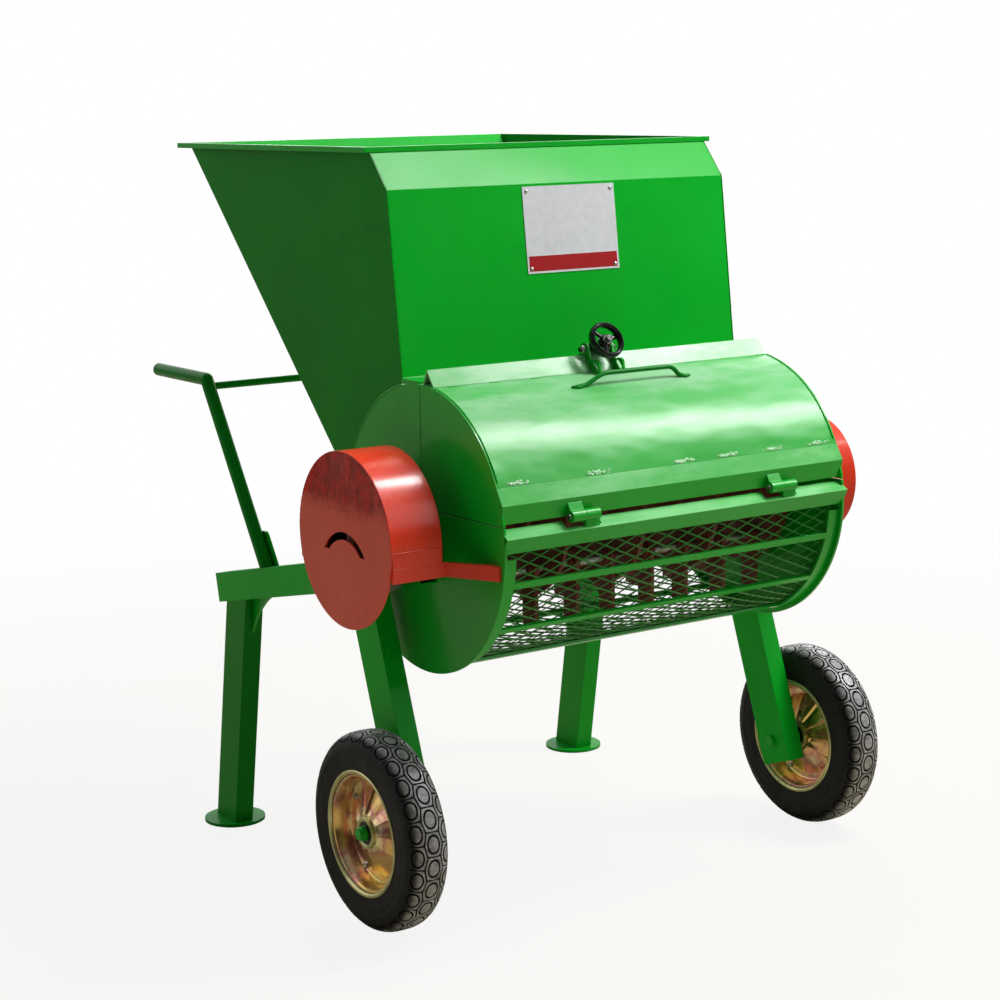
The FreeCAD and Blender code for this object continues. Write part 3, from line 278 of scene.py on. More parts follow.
def brushed(material):
    """Thick brush marks on the upper half of the guard's flat side, with a painted reflection
    haze below.
    """
    tree = material.node_tree
    shader = tree.nodes["Principled BSDF"]
    outward = times(tree, split(tree, coordinate(tree, "Normal"))["X"], -1.0)
    flat = fade(tree, outward, 0.8, 0.95)
    height = split(tree, coordinate(tree))["Z"]
    ragged = times(tree, noise(tree, 14.0, 5.0, 0.65), brush_ragged)
    upper = times(tree, fade(tree, plus(tree, height, ragged), *brush_edge_z), flat)
    lower = times(tree, maths(tree, "SUBTRACT", flat, upper), 0.3)
    marks = noise(tree, 26.0, 6.0, 0.75, (1.0, 2.2, 1.2))
    color = mix(tree, times(tree, upper, 0.92), source_of(shader, "Base Color"),
                ramp(tree, marks, *thick_red))
    level = tree.nodes.new("ShaderNodeSeparateColor")
    link(tree, source_of(shader, "Roughness"), level.inputs[0])
    ripple = tree.nodes.new("ShaderNodeBump")
    feed(tree, ripple, Distance=brush_ripple, Strength=times(tree, upper, 0.7), Height=marks,
         Normal=source_of(shader, "Normal"))
    feed(tree, shader, Base_Color=mix(tree, lower, color, red_painted_haze),
         Roughness=plus(tree, level.outputs[0], times(tree, upper, -0.2)),
         Specular_IOR_Level=plus(tree, times(tree, upper, -0.24), paint_specular),
         Coat_Weight=plus(tree, times(tree, upper, -0.17), paint_coat),
         Normal=ripple.outputs["Normal"])
    return material


def sheen_and_dust(material, color, share, low_z=0.0, high_z=0.5, upward=False):
    """Pale clouds that thicken with height, or only on faces that look up: a painted reflection
    of the bright sky and lamps, with some overspray dust.
    """
    tree = material.node_tree
    shader = tree.nodes["Principled BSDF"]
    height = split(tree, coordinate(tree))["Z"]
    cloud = noise(tree, 7.0, 5.0, 0.62, (0.6, 1.6, 1.6))
    amount = times(tree, fade(tree, cloud, 0.36, 0.66, 0.2),
                   fade(tree, height, low_z, high_z, 0.0, share))
    if upward:
        up = fade(tree, split(tree, coordinate(tree, "Normal"))["Z"], 0.15, 0.45)
        amount = times(tree, amount, up)
    feed(tree, shader, Base_Color=mix(tree, amount, source_of(shader, "Base Color"), color))
    return material


leaf = ((0.0015, 0.40, 0.019), (0.002, 0.44, 0.022), (0.004, 0.48, 0.028))
# A darker copy of the green enamel, painted shade for the hopper sides, the rear legs and the
# foot plates.
leaf_painted_shade = ((0.001, 0.23, 0.010), (0.0015, 0.26, 0.012), (0.003, 0.29, 0.016))
leaf_strand = ((0.015, 0.24, 0.022), (0.04, 0.30, 0.045), (0.08, 0.34, 0.08))
# A darker copy of the green enamel, painted shade for the push handles, the crossbar and the
# cover's rod handle.
leaf_handle_painted_shade = ((0.0015, 0.18, 0.012), (0.002, 0.24, 0.016), (0.004, 0.28, 0.024))
# Pale mint for the weld spatter: a painted highlight.
leaf_painted_highlight = ((0.34, 0.84, 0.38), (0.52, 0.93, 0.55), (0.78, 0.96, 0.80))
leaf_cast = ((0.003, 0.13, 0.014), (0.004, 0.19, 0.018), (0.006, 0.25, 0.024))
guard_tones = ((0.80, 0.045, 0.018), (0.90, 0.058, 0.022), (0.95, 0.080, 0.030))
# A darker copy of the guard red, painted shade for the right guard.
guard_painted_shade = ((0.66, 0.036, 0.014), (0.74, 0.046, 0.018), (0.80, 0.060, 0.022))
primer_tones = ((0.13, 0.026, 0.018), (0.2, 0.04, 0.026), (0.27, 0.06, 0.035))

green = paint("green_enamel", leaf, (0.26, 0.38))
# Painted reflection: a pale haze on the top of the cover, where the sky is reflected.
rolled_green = sheen_and_dust(paint("rolled_green_enamel", leaf, (0.32, 0.48), swell=0.46, gloss=1.3,
                            haze=0.22), (0.50, 0.72, 0.54), 0.52, 0.86, 0.985)
# The ridge's pale clouds are partly overspray dust, partly a painted glint.
ridge_green = sheen_and_dust(paint("ridge_green_enamel", leaf, (0.30, 0.46), 0.3, 0.3),
                     (0.46, 0.72, 0.50), 0.6)
# Painted highlight: pale mint on the hinge angles' faces that look up.
hinge_green = sheen_and_dust(paint("hinge_green_enamel", leaf, (0.28, 0.42)),
                     (0.42, 0.92, 0.44), 0.42, upward=True)
matt_green = paint("matt_green_enamel", leaf, (0.30, 0.44), gloss=0.35)
painted_shade_green = paint("painted_shade_green_enamel", leaf_painted_shade, (0.30, 0.44), gloss=0.3)
strand_green = paint("strand_green_enamel", leaf_strand, (0.3, 0.5), 0.2, 0.3)
handle_painted_shade_green = paint("handle_painted_shade_enamel", leaf_handle_painted_shade, (0.24, 0.36), gloss=0.35)
painted_highlight_green = paint("painted_highlight_green_enamel", leaf_painted_highlight, (0.15, 0.3), 0.3, 0.4)
cast_green = paint("cast_green", leaf_cast, (0.3, 0.5), 0.3, 0.8)
red = paint("red_enamel", guard_tones, (0.22, 0.42), 0.18, 0.2)
matt_painted_shade_red = paint("matt_painted_shade_red_enamel", guard_painted_shade, (0.3, 0.45), 0.18, 0.2, gloss=0.35)
disc_red = brushed(paint("brushed_red_enamel", guard_tones, (0.22, 0.42), 0.18, 0.2))
primer = paint("red_primer", primer_tones, (0.45, 0.7), 0.2, 0.6)


# Metal, rubber and plastic

metal_grain = 0.0005
film_grain = 0.0004
plate_grain = 0.0002
plastic_grain = 0.0003
rubber_grain = 0.0012
rubber_fine_grain = 0.0004
rubber_edge = 0.0007


def metal(name, tones, rough, scale, metallic=1.0, fine=0.15):
    material, tree, shader = new_material(name)
    color = ramp(tree, noise(tree, scale, 5.0, 0.6), (0.35, tones[0]), (0.68, tones[1]))
    roughness = spread(tree, scale * 3, 4.0, 0.5, (0.3, rough[0]), (0.7, rough[1]))
    feed(tree, shader, Base_Color=color, Roughness=roughness, Metallic=metallic)
    bump(tree, shader, [(noise(tree, scale * 9, 3.0), metal_grain, fine)])
    return material


def flat_paint(name, color):
    material, tree, shader = new_material(name)
    tone = ramp(tree, noise(tree, 60.0, 4.0), (0.3, tuple(v * 0.9 for v in color)),
                (0.7, color))
    feed(tree, shader, Base_Color=tone, Roughness=0.35, Specular_IOR_Level=0.3)
    bump(tree, shader, [(noise(tree, 300.0, 2.0), plate_grain, 0.1)])
    return material


steel = metal("turned_steel", ((0.36, 0.36, 0.36), (0.62, 0.62, 0.61)), (0.22, 0.4), 30.0)
dark_steel = metal("dark_steel", ((0.05, 0.05, 0.05), (0.12, 0.12, 0.115)), (0.35, 0.6), 40.0)
zinc = metal("zinc_plate", ((0.5, 0.51, 0.52), (0.72, 0.73, 0.74)), (0.2, 0.42), 50.0)
cast_grey = metal("cast_grey", ((0.12, 0.145, 0.12), (0.24, 0.28, 0.23)), (0.4, 0.65), 28.0)
dull_insert = metal("dull_insert", ((0.02, 0.022, 0.025), (0.36, 0.37, 0.38)), (0.5, 0.7),
                    160.0, 0.1, 1.0)
pale_zinc = metal("pale_zinc", ((0.52, 0.50, 0.24), (0.74, 0.70, 0.36)), (0.25, 0.45), 30.0,
                  0.8)
plate_white = flat_paint("plate_white", (0.76, 0.77, 0.84))
plate_red = flat_paint("plate_red", (0.45, 0.016, 0.02))

film_colors = (
    (0.28, (0.52, 0.48, 0.16)), (0.37, (0.80, 0.68, 0.24)), (0.44, (0.82, 0.56, 0.18)),
    (0.51, (0.82, 0.48, 0.24)), (0.545, (0.66, 0.26, 0.24)), (0.58, (0.84, 0.60, 0.36)),
    (0.66, (0.82, 0.76, 0.42)), (0.80, (0.56, 0.66, 0.32)),
)


def yellow_zinc_material():
    """Yellow chromate on zinc, with the faint pink and green of the film."""
    material, tree, shader = new_material("yellow_zinc")
    color = ramp(tree, noise(tree, 8.0, 4.0, 0.6), *film_colors)
    roughness = spread(tree, 40.0, 4.0, 0.5, (0.3, 0.16), (0.7, 0.32))
    feed(tree, shader, Base_Color=color, Metallic=0.88, Roughness=roughness)
    bump(tree, shader, [(noise(tree, 260.0, 3.0), film_grain, 0.2)])
    return material


tread_from = 0.1725
tread_full = 0.1818
groove_width = 0.007
rubber_tones = ((0.35, (0.007, 0.007, 0.008)), (0.7, (0.020, 0.020, 0.021)))
# The tread's pale grey tops: partly dust and wear, partly a painted highlight.
worn_sheen_tones = ((0.35, (0.11, 0.112, 0.116)), (0.66, (0.46, 0.462, 0.47)))


def tread_share(tree):
    """How much of the tread's pale top a point has, partly dust and wear, partly painted
    highlight: none on the sides, and none in grooves, which get painted shade from the
    occlusion.
    """
    place = vector_maths(tree, "SUBTRACT", coordinate(tree), (0, axle_y, axle_z))
    flat = vector_maths(tree, "MULTIPLY", place, (0, 1, 1))
    tread = fade(tree, vector_maths(tree, "LENGTH", flat), tread_from, tread_full)
    # Ambient occlusion keeps the grooves dark: painted shade.
    groove_shade = tree.nodes.new("ShaderNodeAmbientOcclusion")
    groove_shade.samples = 6
    groove_shade.inputs["Distance"].default_value = groove_width
    return times(tree, tread, fade(tree, groove_shade.outputs["AO"], 0.55, 0.9))


def rubber_material():
    material, tree, shader = new_material("tyre_rubber")
    color = ramp(tree, noise(tree, 26.0, 5.0, 0.65), *rubber_tones)
    worn_sheen = ramp(tree, noise(tree, 70.0, 5.0, 0.7), *worn_sheen_tones)
    tread = tread_share(tree)
    side_rough = (0.62, 0.62, 0.62)
    rough = mix(tree, tread, side_rough, spread(tree, 60.0, 4.0, 0.5, (0.3, 0.28), (0.7, 0.46)))
    feed(tree, shader, Base_Color=mix(tree, tread, color, worn_sheen), Roughness=rough,
         Specular_IOR_Level=plus(tree, times(tree, tread, 0.55), 0.25))
    bump(tree, shader, [(noise(tree, 110.0, 3.0), rubber_grain, 0.35),
                        (noise(tree, 500.0, 3.0), rubber_fine_grain, 0.3)], rubber_edge)
    return material


def black_plastic_material():
    material, tree, shader = new_material("black_plastic")
    color = ramp(tree, noise(tree, 90.0, 3.0), (0.3, (0.006, 0.006, 0.007)),
                 (0.7, (0.014, 0.014, 0.015)))
    roughness = spread(tree, 70.0, 3.0, 0.5, (0.3, 0.1), (0.7, 0.2))
    feed(tree, shader, Base_Color=color, Roughness=roughness, Specular_IOR_Level=0.4)
    bump(tree, shader, [(noise(tree, 350.0, 2.0), plastic_grain, 0.1)])
    return material


yellow_zinc = yellow_zinc_material()
rubber = rubber_material()
black_plastic = black_plastic_material()


# Materials of the model's own nodes

slot_materials = {
    "green_paint": green, "red_paint": red, "primer_red": primer, "cast_green": cast_green,
    "cast_grey": cast_grey, "steel": steel, "dark_steel": dark_steel, "zinc": zinc,
    "yellow_zinc": yellow_zinc, "black_plastic": black_plastic, "tyre": rubber,
}

node_materials = {
    "hopper_front_sheet": matt_green, "side_rails": matt_green, "front_legs": matt_green,
    # Painted shade: the hopper sides, rear legs and foot plates get a darker copy of the same
    # green.
    "hopper_sides": painted_shade_green, "rear_legs": painted_shade_green, "foot_plates": painted_shade_green,
    "cover_skin": rolled_green, "cover_ridge_angle": ridge_green,
    "cover_hinge_angle": hinge_green, "fixed_hinge_angle": hinge_green,
    # Painted shade: the handles get a darker copy of the same green.
    "cover_handle": handle_painted_shade_green, "push_handles": handle_painted_shade_green, "handle_crossbar": handle_painted_shade_green,
    # The right guard's red is darker as painted shade, and less glossy.
    "left_guard": disc_red, "right_guard": matt_painted_shade_red, "clamp_screw": dull_insert,
}


def dress_nodes():
    for entry in frame["record"]["subparts"]:
        item = nodes[entry["node"]]
        material = node_materials.get(entry["node"], slot_materials[entry["material_slot"]])
        item.data.materials.clear()
        item.data.materials.append(material)
        for face in item.data.polygons:
            face.material_index = 0


# Steps that the new pieces share

class Form:
    """The corners and faces of one piece while it is being made."""

    def __init__(self):
        self.corners = []
        self.faces = []

    def corner(self, place):
        self.corners.append(place)
        return len(self.corners) - 1

    def ring(self, places):
        return [self.corner(place) for place in places]

    def oval(self, middle, first, second, count, turn=0.0):
        """A ring of corners that reaches out from its middle by two vectors."""
        angles = [math.tau * index / count + turn for index in range(count)]
        return self.ring(middle + first * math.cos(angle) + second * math.sin(angle)
                         for angle in angles)

    def skin(self, rings):
        """Faces between each ring of corners and the next."""
        for inner, outer in zip(rings, rings[1:]):
            for index in range(len(inner)):
                after = (index + 1) % len(inner)
                self.faces.append((inner[index], inner[after], outer[after], outer[index]))

    def cap(self, ring):
        self.faces.append(tuple(ring))


def new_piece(form, name, material, body, smooth=True, stands_for=None, keep_deg=None):
    """Makes a piece; edges sharper than keep_deg stay sharp."""
    mesh = bpy.data.meshes.new(name)
    mesh.from_pydata([tuple(corner) for corner in form.corners], [], form.faces)
    mesh.materials.append(material)
    shell = bmesh.new()
    shell.from_mesh(mesh)
    bmesh.ops.recalc_face_normals(shell, faces=shell.faces)
    shell.to_mesh(mesh)
    shell.free()
    if smooth:
        mesh.shade_smooth()
    mesh.update()
    piece = bpy.data.objects.new(name, mesh)
    scene.collection.objects.link(piece)
    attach(piece, body)
    if stands_for:
        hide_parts(stands_for)
    if keep_deg:
        mesh.set_sharp_from_angle(angle=math.radians(keep_deg))


def side_point(u, z, x=0.0):
    """A point from its place in the side view, measured from the drum's axis."""
    return Vector((x, drum_y + u, z))


def drum_point(radius, angle_deg, x):
    turn = math.radians(angle_deg)
    return Vector((x, drum_y + radius * math.cos(turn), axis_z + radius * math.sin(turn)))


def wheel_point(x, radius, angle):
    return Vector((x, axle_y + radius * math.cos(angle), axle_z + radius * math.sin(angle)))


def rail_point(distance, rise, x):
    """A point by its distance along the rail and its height above the rail's top."""
    turn = math.radians(rail_tilt_deg)
    height = rise - bearing_height
    return Vector((x, drum_y + distance * math.cos(turn) + height * math.sin(turn),
                   axis_z - distance * math.sin(turn) + height * math.cos(turn)))


def across(axis):
    """Two directions square to an axis and to each other."""
    axis = axis.normalized()
    rough = Vector((0, 0, 1)) if abs(axis.z) < 0.9 else Vector((0, 1, 0))
    first = axis.cross(rough).normalized()
    return first, axis.cross(first)


def turned(form, start, axis, outline, count, turn_deg=0.0):
    """Adds a shape turned about an axis; each outline point is (along, radius)."""
    first, second = across(axis)
    axis = axis.normalized()
    rings = [form.oval(start + axis * along, first * radius, second * radius, count,
                       math.radians(turn_deg)) for along, radius in outline]
    form.skin(rings)
    return rings[-1]


# Outlines of small fasteners as shares of (height, radius)
hex_shares = ((0.0, 1.0), (0.8, 1.0), (1.0, 0.88))
washer_shares = ((0.0, 1.0), (0.8, 1.0), (1.0, 0.95))
bolt_shares = ((0.0, 1.0), (0.8, 1.0), (1.0, 0.8))


def stud(form, start, axis, size, shares, count, turn_deg=0.0):
    radius, height = size
    outline = [(height * along, radius * out) for along, out in shares]
    form.cap(turned(form, start, axis, outline, count, turn_deg))


def hex_head(form, start, axis, size, turn_deg):
    """A hexagon head with its top corners turned off, from its width and height."""
    flats, height = size
    stud(form, start, axis, (flats / math.sqrt(3), height), hex_shares, 6, turn_deg)


def washer(form, start, axis, size):
    stud(form, start, axis, size, washer_shares, 24)


def bolt_end(form, start, axis, size):
    stud(form, start, axis, size, bolt_shares, 16)


# Expanded-metal screen

screen_radius = 0.2478
screen_start_deg = 177.0
screen_end_deg = 355.5
mesh_long = 0.047
mesh_short = 0.0212
strand_width = 0.0029
strand_thick = 0.0016
strand_tilt_deg = 32.0


def strand(form, first, second, out):
    along = (second - first).normalized()
    side = along.cross(out).normalized()
    tilt = math.radians(strand_tilt_deg)
    wide = (side * math.cos(tilt) + out * math.sin(tilt)) * (strand_width / 2)
    thick = (out * math.cos(tilt) - side * math.sin(tilt)) * (strand_thick / 2)
    reach = along * (strand_thick / 2)
    rings = [form.ring((end + wide + thick, end - wide + thick,
                        end - wide - thick, end + wide - thick))
             for end in (first - reach, second + reach)]
    form.skin(rings)
    form.cap(rings[0])
    form.cap(rings[1][::-1])


def make_screen():
    """Slanted strands on a round, in rows offset by half a diamond."""
    low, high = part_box("screen_panels")
    half = (high[0] - low[0]) / 2 - strand_width
    sweep_deg = screen_end_deg - screen_start_deg
    rows = round(math.radians(sweep_deg) * screen_radius / (mesh_short / 2))
    step_deg = sweep_deg / rows
    columns = int(half * 2 / mesh_long)
    left = -mesh_long * columns / 2
    form = Form()
    for row in range(rows):
        here = screen_start_deg + step_deg * row
        offset = 0.5 if row % 2 else 0.0
        out = drum_point(1.0, here + step_deg / 2, 0) - drum_point(0.0, 0.0, 0)
        for column in range(columns + 1):
            x = left + mesh_long * (column + offset)
            for side in (-0.5, 0.5):
                end_x = x + mesh_long * side
                if abs(x) > half or abs(end_x) > half:
                    continue
                first = drum_point(screen_radius, here, x)
                second = drum_point(screen_radius, here + step_deg, end_x)
                strand(form, first, second, out.normalized())
    new_piece(form, "expanded_screen", strand_green, "frame", smooth=False,
              stands_for="screen_panels")


# Tyres

tread_count = 26
tread_rows = 3
tread_depth = 0.0042
tread_zigzag = 0.16
cell_half_turn = math.pi / tread_count
cell_half_share = 1 / tread_rows
around_count = tread_count * 4
key_steps = 6

# The oval block and its groove, each ring as (share of the cell, share of the depth)
block_rings = ((0.40, 0.0), (0.64, 0.0), (0.69, 1.0), (0.80, 1.0), (0.85, 0.0))
block_turn_share = 0.98
land_reach = 0.85
land_share = 0.32
border_depth_share = 0.8

# Half of the tyre's outline, each point as (from the wheel's middle, radius)
tyre_profile = ((-0.035, 0.107), (-0.0385, 0.110), (-0.0405, 0.117), (-0.0398, 0.122),
                (-0.0418, 0.131), (-0.0425, 0.142), (-0.0418, 0.150), (-0.0424, 0.1515),
                (-0.0410, 0.158))
tread_line = ((-0.0395, 0.1645), (-0.0355, 0.1720), (-0.029, 0.1785), (-0.022, 0.1818),
              (-0.0145, 0.1834), (-0.007, 0.1838), (0.0, 0.1839))


def tread_place(share):
    """The place on the tread from one shoulder at -1 to the other at 1."""
    line = list(tread_line) + [(-x, radius) for x, radius in tread_line[-2::-1]]
    lengths = [0.0]
    for first, second in zip(line, line[1:]):
        lengths.append(lengths[-1] + math.hypot(second[0] - first[0], second[1] - first[1]))
    wanted = (share + 1) / 2 * lengths[-1]
    index = 0
    while wanted > lengths[index + 1] and index < len(line) - 2:
        index += 1
    part = (wanted - lengths[index]) / (lengths[index + 1] - lengths[index])
    first, second = line[index], line[index + 1]
    along = (second[0] - first[0], second[1] - first[1])
    size = math.hypot(along[0], along[1])
    x = first[0] + along[0] * part
    radius = first[1] + along[1] * part
    return x, radius, (-along[1] / size, along[0] / size)


def tread_corner(form, centre_x, turn, place, depth):
    x, radius, out = tread_place(place)
    return form.corner(wheel_point(centre_x + (x + out[0] * depth), radius + out[1] * depth,
                                   turn))


def cell_outline():
    """Sixteen places round a square cell from -1 to 1, four on each side."""
    outline = []
    for side in range(4):
        for part in range(4):
            value = part / 2 - 1
            outline.append([(value, -1), (1, value), (-value, 1), (-1, -value)][side])
    return outline


def block_ring(form, centre_x, angle, share, size, depth):
    ring = []
    for a, b in cell_outline():
        length = math.hypot(a, b)
        place = share + cell_half_share * b / length * size
        turn = angle + cell_half_turn * a / length * size * block_turn_share
        ring.append(tread_corner(form, centre_x, turn, place, depth))
    return ring


def cell_border(form, centre_x, angle, share, shared):
    """The land round the block, and the zigzag groove that neighbours share."""
    land = []
    border = []
    for a, b in cell_outline():
        length = math.hypot(a, b)
        turn = angle + cell_half_turn * a
        step = round(turn % math.tau / cell_half_turn * 2) % around_count
        line = round((share + cell_half_share * b) * tread_rows)
        shoulder = abs(line) == tread_rows
        swing = (1, 0, -1, 0)[(step + line + 1) % 4]
        zigzag = tread_zigzag * swing if abs(b) == 1 and not shoulder else 0
        place = share + cell_half_share * (b + zigzag)
        near_turn = angle + cell_half_turn * a / length * land_reach
        near_place = share + cell_half_share * b / length * land_reach
        land.append(tread_corner(form, centre_x, turn + (near_turn - turn) * land_share,
                                 place + (near_place - place) * land_share, 0.0))
        key = (step, round((share + cell_half_share * b) * key_steps))
        if key not in shared:
            depth = 0.0 if shoulder else -tread_depth * border_depth_share
            shared[key] = tread_corner(form, centre_x, turn, place, depth)
        border.append(shared[key])
    return [land, border]


def tread_cell(form, centre_x, angle, share, shared):
    """One oval block with a groove round it, inside a box-shaped cell."""
    rings = [block_ring(form, centre_x, angle, share, size, -tread_depth * sink)
             for size, sink in block_rings]
    rings += cell_border(form, centre_x, angle, share, shared)
    form.cap(rings[0])
    form.skin(rings)


def side_wall(form, centre_x, sign, shared):
    """One side from the bead to the tread's edge."""
    angles = [math.tau * index / around_count for index in range(around_count)]
    rings = [form.ring(wheel_point(centre_x + x * -sign, radius, angle) for angle in angles)
             for x, radius in tyre_profile]
    rings.append([shared[(index, key_steps * sign)] for index in range(around_count)])
    form.skin(rings)


def make_tyre(side, word):
    centre_x = wheel_x * side
    form = Form()
    shared = {}
    for row in range(tread_rows):
        share = (row - 1) * 2 / tread_rows
        for index in range(tread_count):
            angle = (index * 2 + row % 2) * cell_half_turn
            tread_cell(form, centre_x, angle, share, shared)
    for sign in (-1, 1):
        side_wall(form, centre_x, sign, shared)
    new_piece(form, word + "_tyre_dressed", rubber, word + "_wheel",
              stands_for=word + "_tyre", keep_deg=40.0)


# Rims and what is fixed to them

rim_round_count = 96
rim_fold_count = 12
rim_fold_rise = 0.0062

# Outlines of one side of a wheel, each point as (from the wheel's middle, radius)
rim_line = ((0.0405, 0.1155), (0.0395, 0.1158), (0.0372, 0.1120), (0.0350, 0.1042),
            (0.0320, 0.1020), (0.0120, 0.0990), (0.0050, 0.0968), (0.0032, 0.0940),
            (0.0030, 0.0835))
cone_line = ((0.0030, 0.0835), (0.0060, 0.0800), (0.0255, 0.0380), (0.0272, 0.0345),
             (0.0272, 0.0285))
cone_folds = (0.0, 0.6, 1.0, 0.4, 0.0)
lip_line = ((0.0385, 0.1172), (0.0408, 0.1168), (0.0419, 0.1150), (0.0417, 0.1122),
            (0.0400, 0.1098), (0.0370, 0.1088))
bearing_line = ((0.0272, 0.0289), (0.0312, 0.0289), (0.0320, 0.0281), (0.0320, 0.0225),
                (0.0308, 0.0215), (0.0308, 0.0102))
seal_line = ((0.0310, 0.0214), (0.0314, 0.0190), (0.0312, 0.0140))

rim_bolt_count = 4
rim_bolt_circle = 0.090
rim_bolt_turn = 0.33
rim_bolt_face = 0.003
rim_bolt_twist_deg = 17.0
rim_washer = (0.0068, 0.0012)
rim_hex = (0.0105, 0.0036)


def folded(angle, fold):
    """Where an angle lies in its fold, and how far a round is drawn in there."""
    step = math.tau / rim_fold_count
    part = (angle % step) / step - 0.5
    flat = math.cos(step / 2) / math.cos(part * step)
    return part, 1 + (flat - 1) * fold


def rim_bands(form, side, line, folds):
    """The same band on both sides of a wheel, folded as deeply as each point's share."""
    for hand in (-1, 1):
        rings = []
        for (along, radius), fold in zip(line, folds):
            ring = []
            for index in range(rim_round_count):
                angle = math.tau * index / rim_round_count
                part, reach = folded(angle, fold)
                x = wheel_x * side + (along + rim_fold_rise * fold * part) * hand
                ring.append(form.corner(wheel_point(x, radius * reach, angle)))
            rings.append(ring)
        form.skin(rings)


def both_sides(form, side, line, count):
    for hand in (-1, 1):
        turned(form, Vector((wheel_x * side, axle_y, axle_z)), Vector((hand, 0, 0)), line,
               count)


def make_rim(side, word):
    body = word + "_wheel"
    form = Form()
    rim_bands(form, side, rim_line, (0.0,) * len(rim_line))
    new_piece(form, word + "_rim_bowl", yellow_zinc, body,
              stands_for=word + "_rim", keep_deg=35.0)
    form = Form()
    rim_bands(form, side, cone_line, cone_folds)
    new_piece(form, word + "_rim_cone", yellow_zinc, body, keep_deg=12.0)
    form = Form()
    both_sides(form, side, lip_line, rim_round_count)
    new_piece(form, word + "_rim_lip", pale_zinc, body)


def rim_bolt(form, spot, number):
    for hand in (-1, 1):
        axis = Vector((hand, 0, 0))
        foot = spot + axis * rim_bolt_face
        washer(form, foot, axis, rim_washer)
        hex_head(form, foot + axis * rim_washer[1], axis, rim_hex, number * rim_bolt_twist_deg)


def make_wheel_fasteners(side, word):
    body = word + "_wheel"
    form = Form()
    for number in range(rim_bolt_count):
        angle = math.tau * (number + rim_bolt_turn) / rim_bolt_count
        rim_bolt(form, wheel_point(wheel_x * side, rim_bolt_circle, angle), number)
    new_piece(form, word + "_rim_hex_bolts", zinc, body,
              stands_for=word + "_rim_bolts", keep_deg=25.0)
    form = Form()
    both_sides(form, side, bearing_line, 48)
    new_piece(form, word + "_bearing_rings", pale_zinc, body,
              stands_for=word + "_wheel_hub", keep_deg=30.0)
    form = Form()
    both_sides(form, side, seal_line, 40)
    new_piece(form, word + "_bearing_seals", black_plastic, body)


# Nuts and bolts of the frame and the cover: heads as (width over the flats, height),
# washers and bolt ends as (radius, height)

axle_nut_reach = 0.0325
axle_nut = (0.0255, 0.0098)
axle_nut_turn_deg = 11.0

bearing_bolt_reach = 0.0525
bearing_foot_height = 0.015
bearing_washer = (0.0095, 0.0014)
bearing_hex = (0.0155, 0.0046)
bearing_hex_turn_deg = 47.25
bearing_bolt_end = (0.0048, 0.0019)

stud_nut_inset = 0.0068
stud_nut = (0.0136, 0.0066)
stud_nut_turn_deg = 20.0
stud_end = (0.0049, 0.0031)


def make_axle_nuts():
    form = Form()
    for side in (-1, 1):
        start = Vector(((wheel_x + axle_nut_reach) * side, axle_y, axle_z))
        hex_head(form, start, Vector((side, 0, 0)), axle_nut, axle_nut_turn_deg)
    new_piece(form, "hex_axle_nuts", green, "frame", stands_for="axle_nuts",
              keep_deg=25.0)


def make_bearing_bolts():
    form = Form()
    turn = math.radians(rail_tilt_deg)
    axis = Vector((0, math.sin(turn), math.cos(turn)))
    for side in (-1, 1):
        for end in (-1, 1):
            spot = rail_point(bearing_bolt_reach * end, bearing_foot_height, rail_x * side)
            washer(form, spot, axis, bearing_washer)
            spot = spot + axis * bearing_washer[1]
            hex_head(form, spot, axis, bearing_hex, bearing_hex_turn_deg * end)
            bolt_end(form, spot + axis * bearing_hex[1], axis, bearing_bolt_end)
    new_piece(form, "hex_bearing_bolts", zinc, "frame", stands_for="bearing_bolts",
              keep_deg=25.0)


def make_stud_nuts():
    low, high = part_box("clamp_stud_nuts")
    form = Form()
    for side, edge in ((-1, low[0]), (1, high[0])):
        axis = Vector((side, 0, 0))
        start = Vector((edge - side * stud_nut_inset, (low[1] + high[1]) / 2,
                        (low[2] + high[2]) / 2))
        hex_head(form, start, axis, stud_nut, stud_nut_turn_deg)
        bolt_end(form, start + axis * stud_nut[1], axis, stud_end)
    new_piece(form, "hex_stud_nuts", zinc, "cover", stands_for="clamp_stud_nuts",
              keep_deg=25.0)


# Handwheel of the clamp

handwheel_tilt_deg = 30.0
grip_wide = 0.0050
grip_deep = 0.0084
grip_steps = 16
spoke_count = 3
spoke_turn = 0.62
spoke_sides = 8
spoke_shares = (0.0, 0.25, 0.5, 0.75, 1.0)
spoke_start = 0.0095
spoke_shorter = 0.0105
spoke_half = 0.0066
spoke_waist = 0.0020
spoke_sink = 0.0016
spoke_slope = 0.0012
spoke_thick = 0.0028

# Turned parts of the wheel's middle, each point as (along the axis, radius)
hub_line = ((-0.0060, 0.0125), (-0.0020, 0.0128), (0.0012, 0.0116), (0.0030, 0.0098),
            (0.0032, 0.0068))
insert_line = ((0.0016, 0.0094), (0.0038, 0.0092), (0.0046, 0.0080), (0.0044, 0.0066),
               (0.0050, 0.0058), (0.0052, 0.0042), (0.0036, 0.0038))
socket_line = ((0.0036, 0.0042), (0.0028, 0.0030))


def handwheel_frame():
    """The middle of the handwheel's rim, its axis, and its radius."""
    low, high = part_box("handwheel")
    tilt = math.radians(handwheel_tilt_deg)
    axis = Vector((0, -math.cos(tilt), math.sin(tilt)))
    middle = Vector([(a + b) / 2 for a, b in zip(low, high)])
    return middle, axis, (high[0] - low[0]) / 2


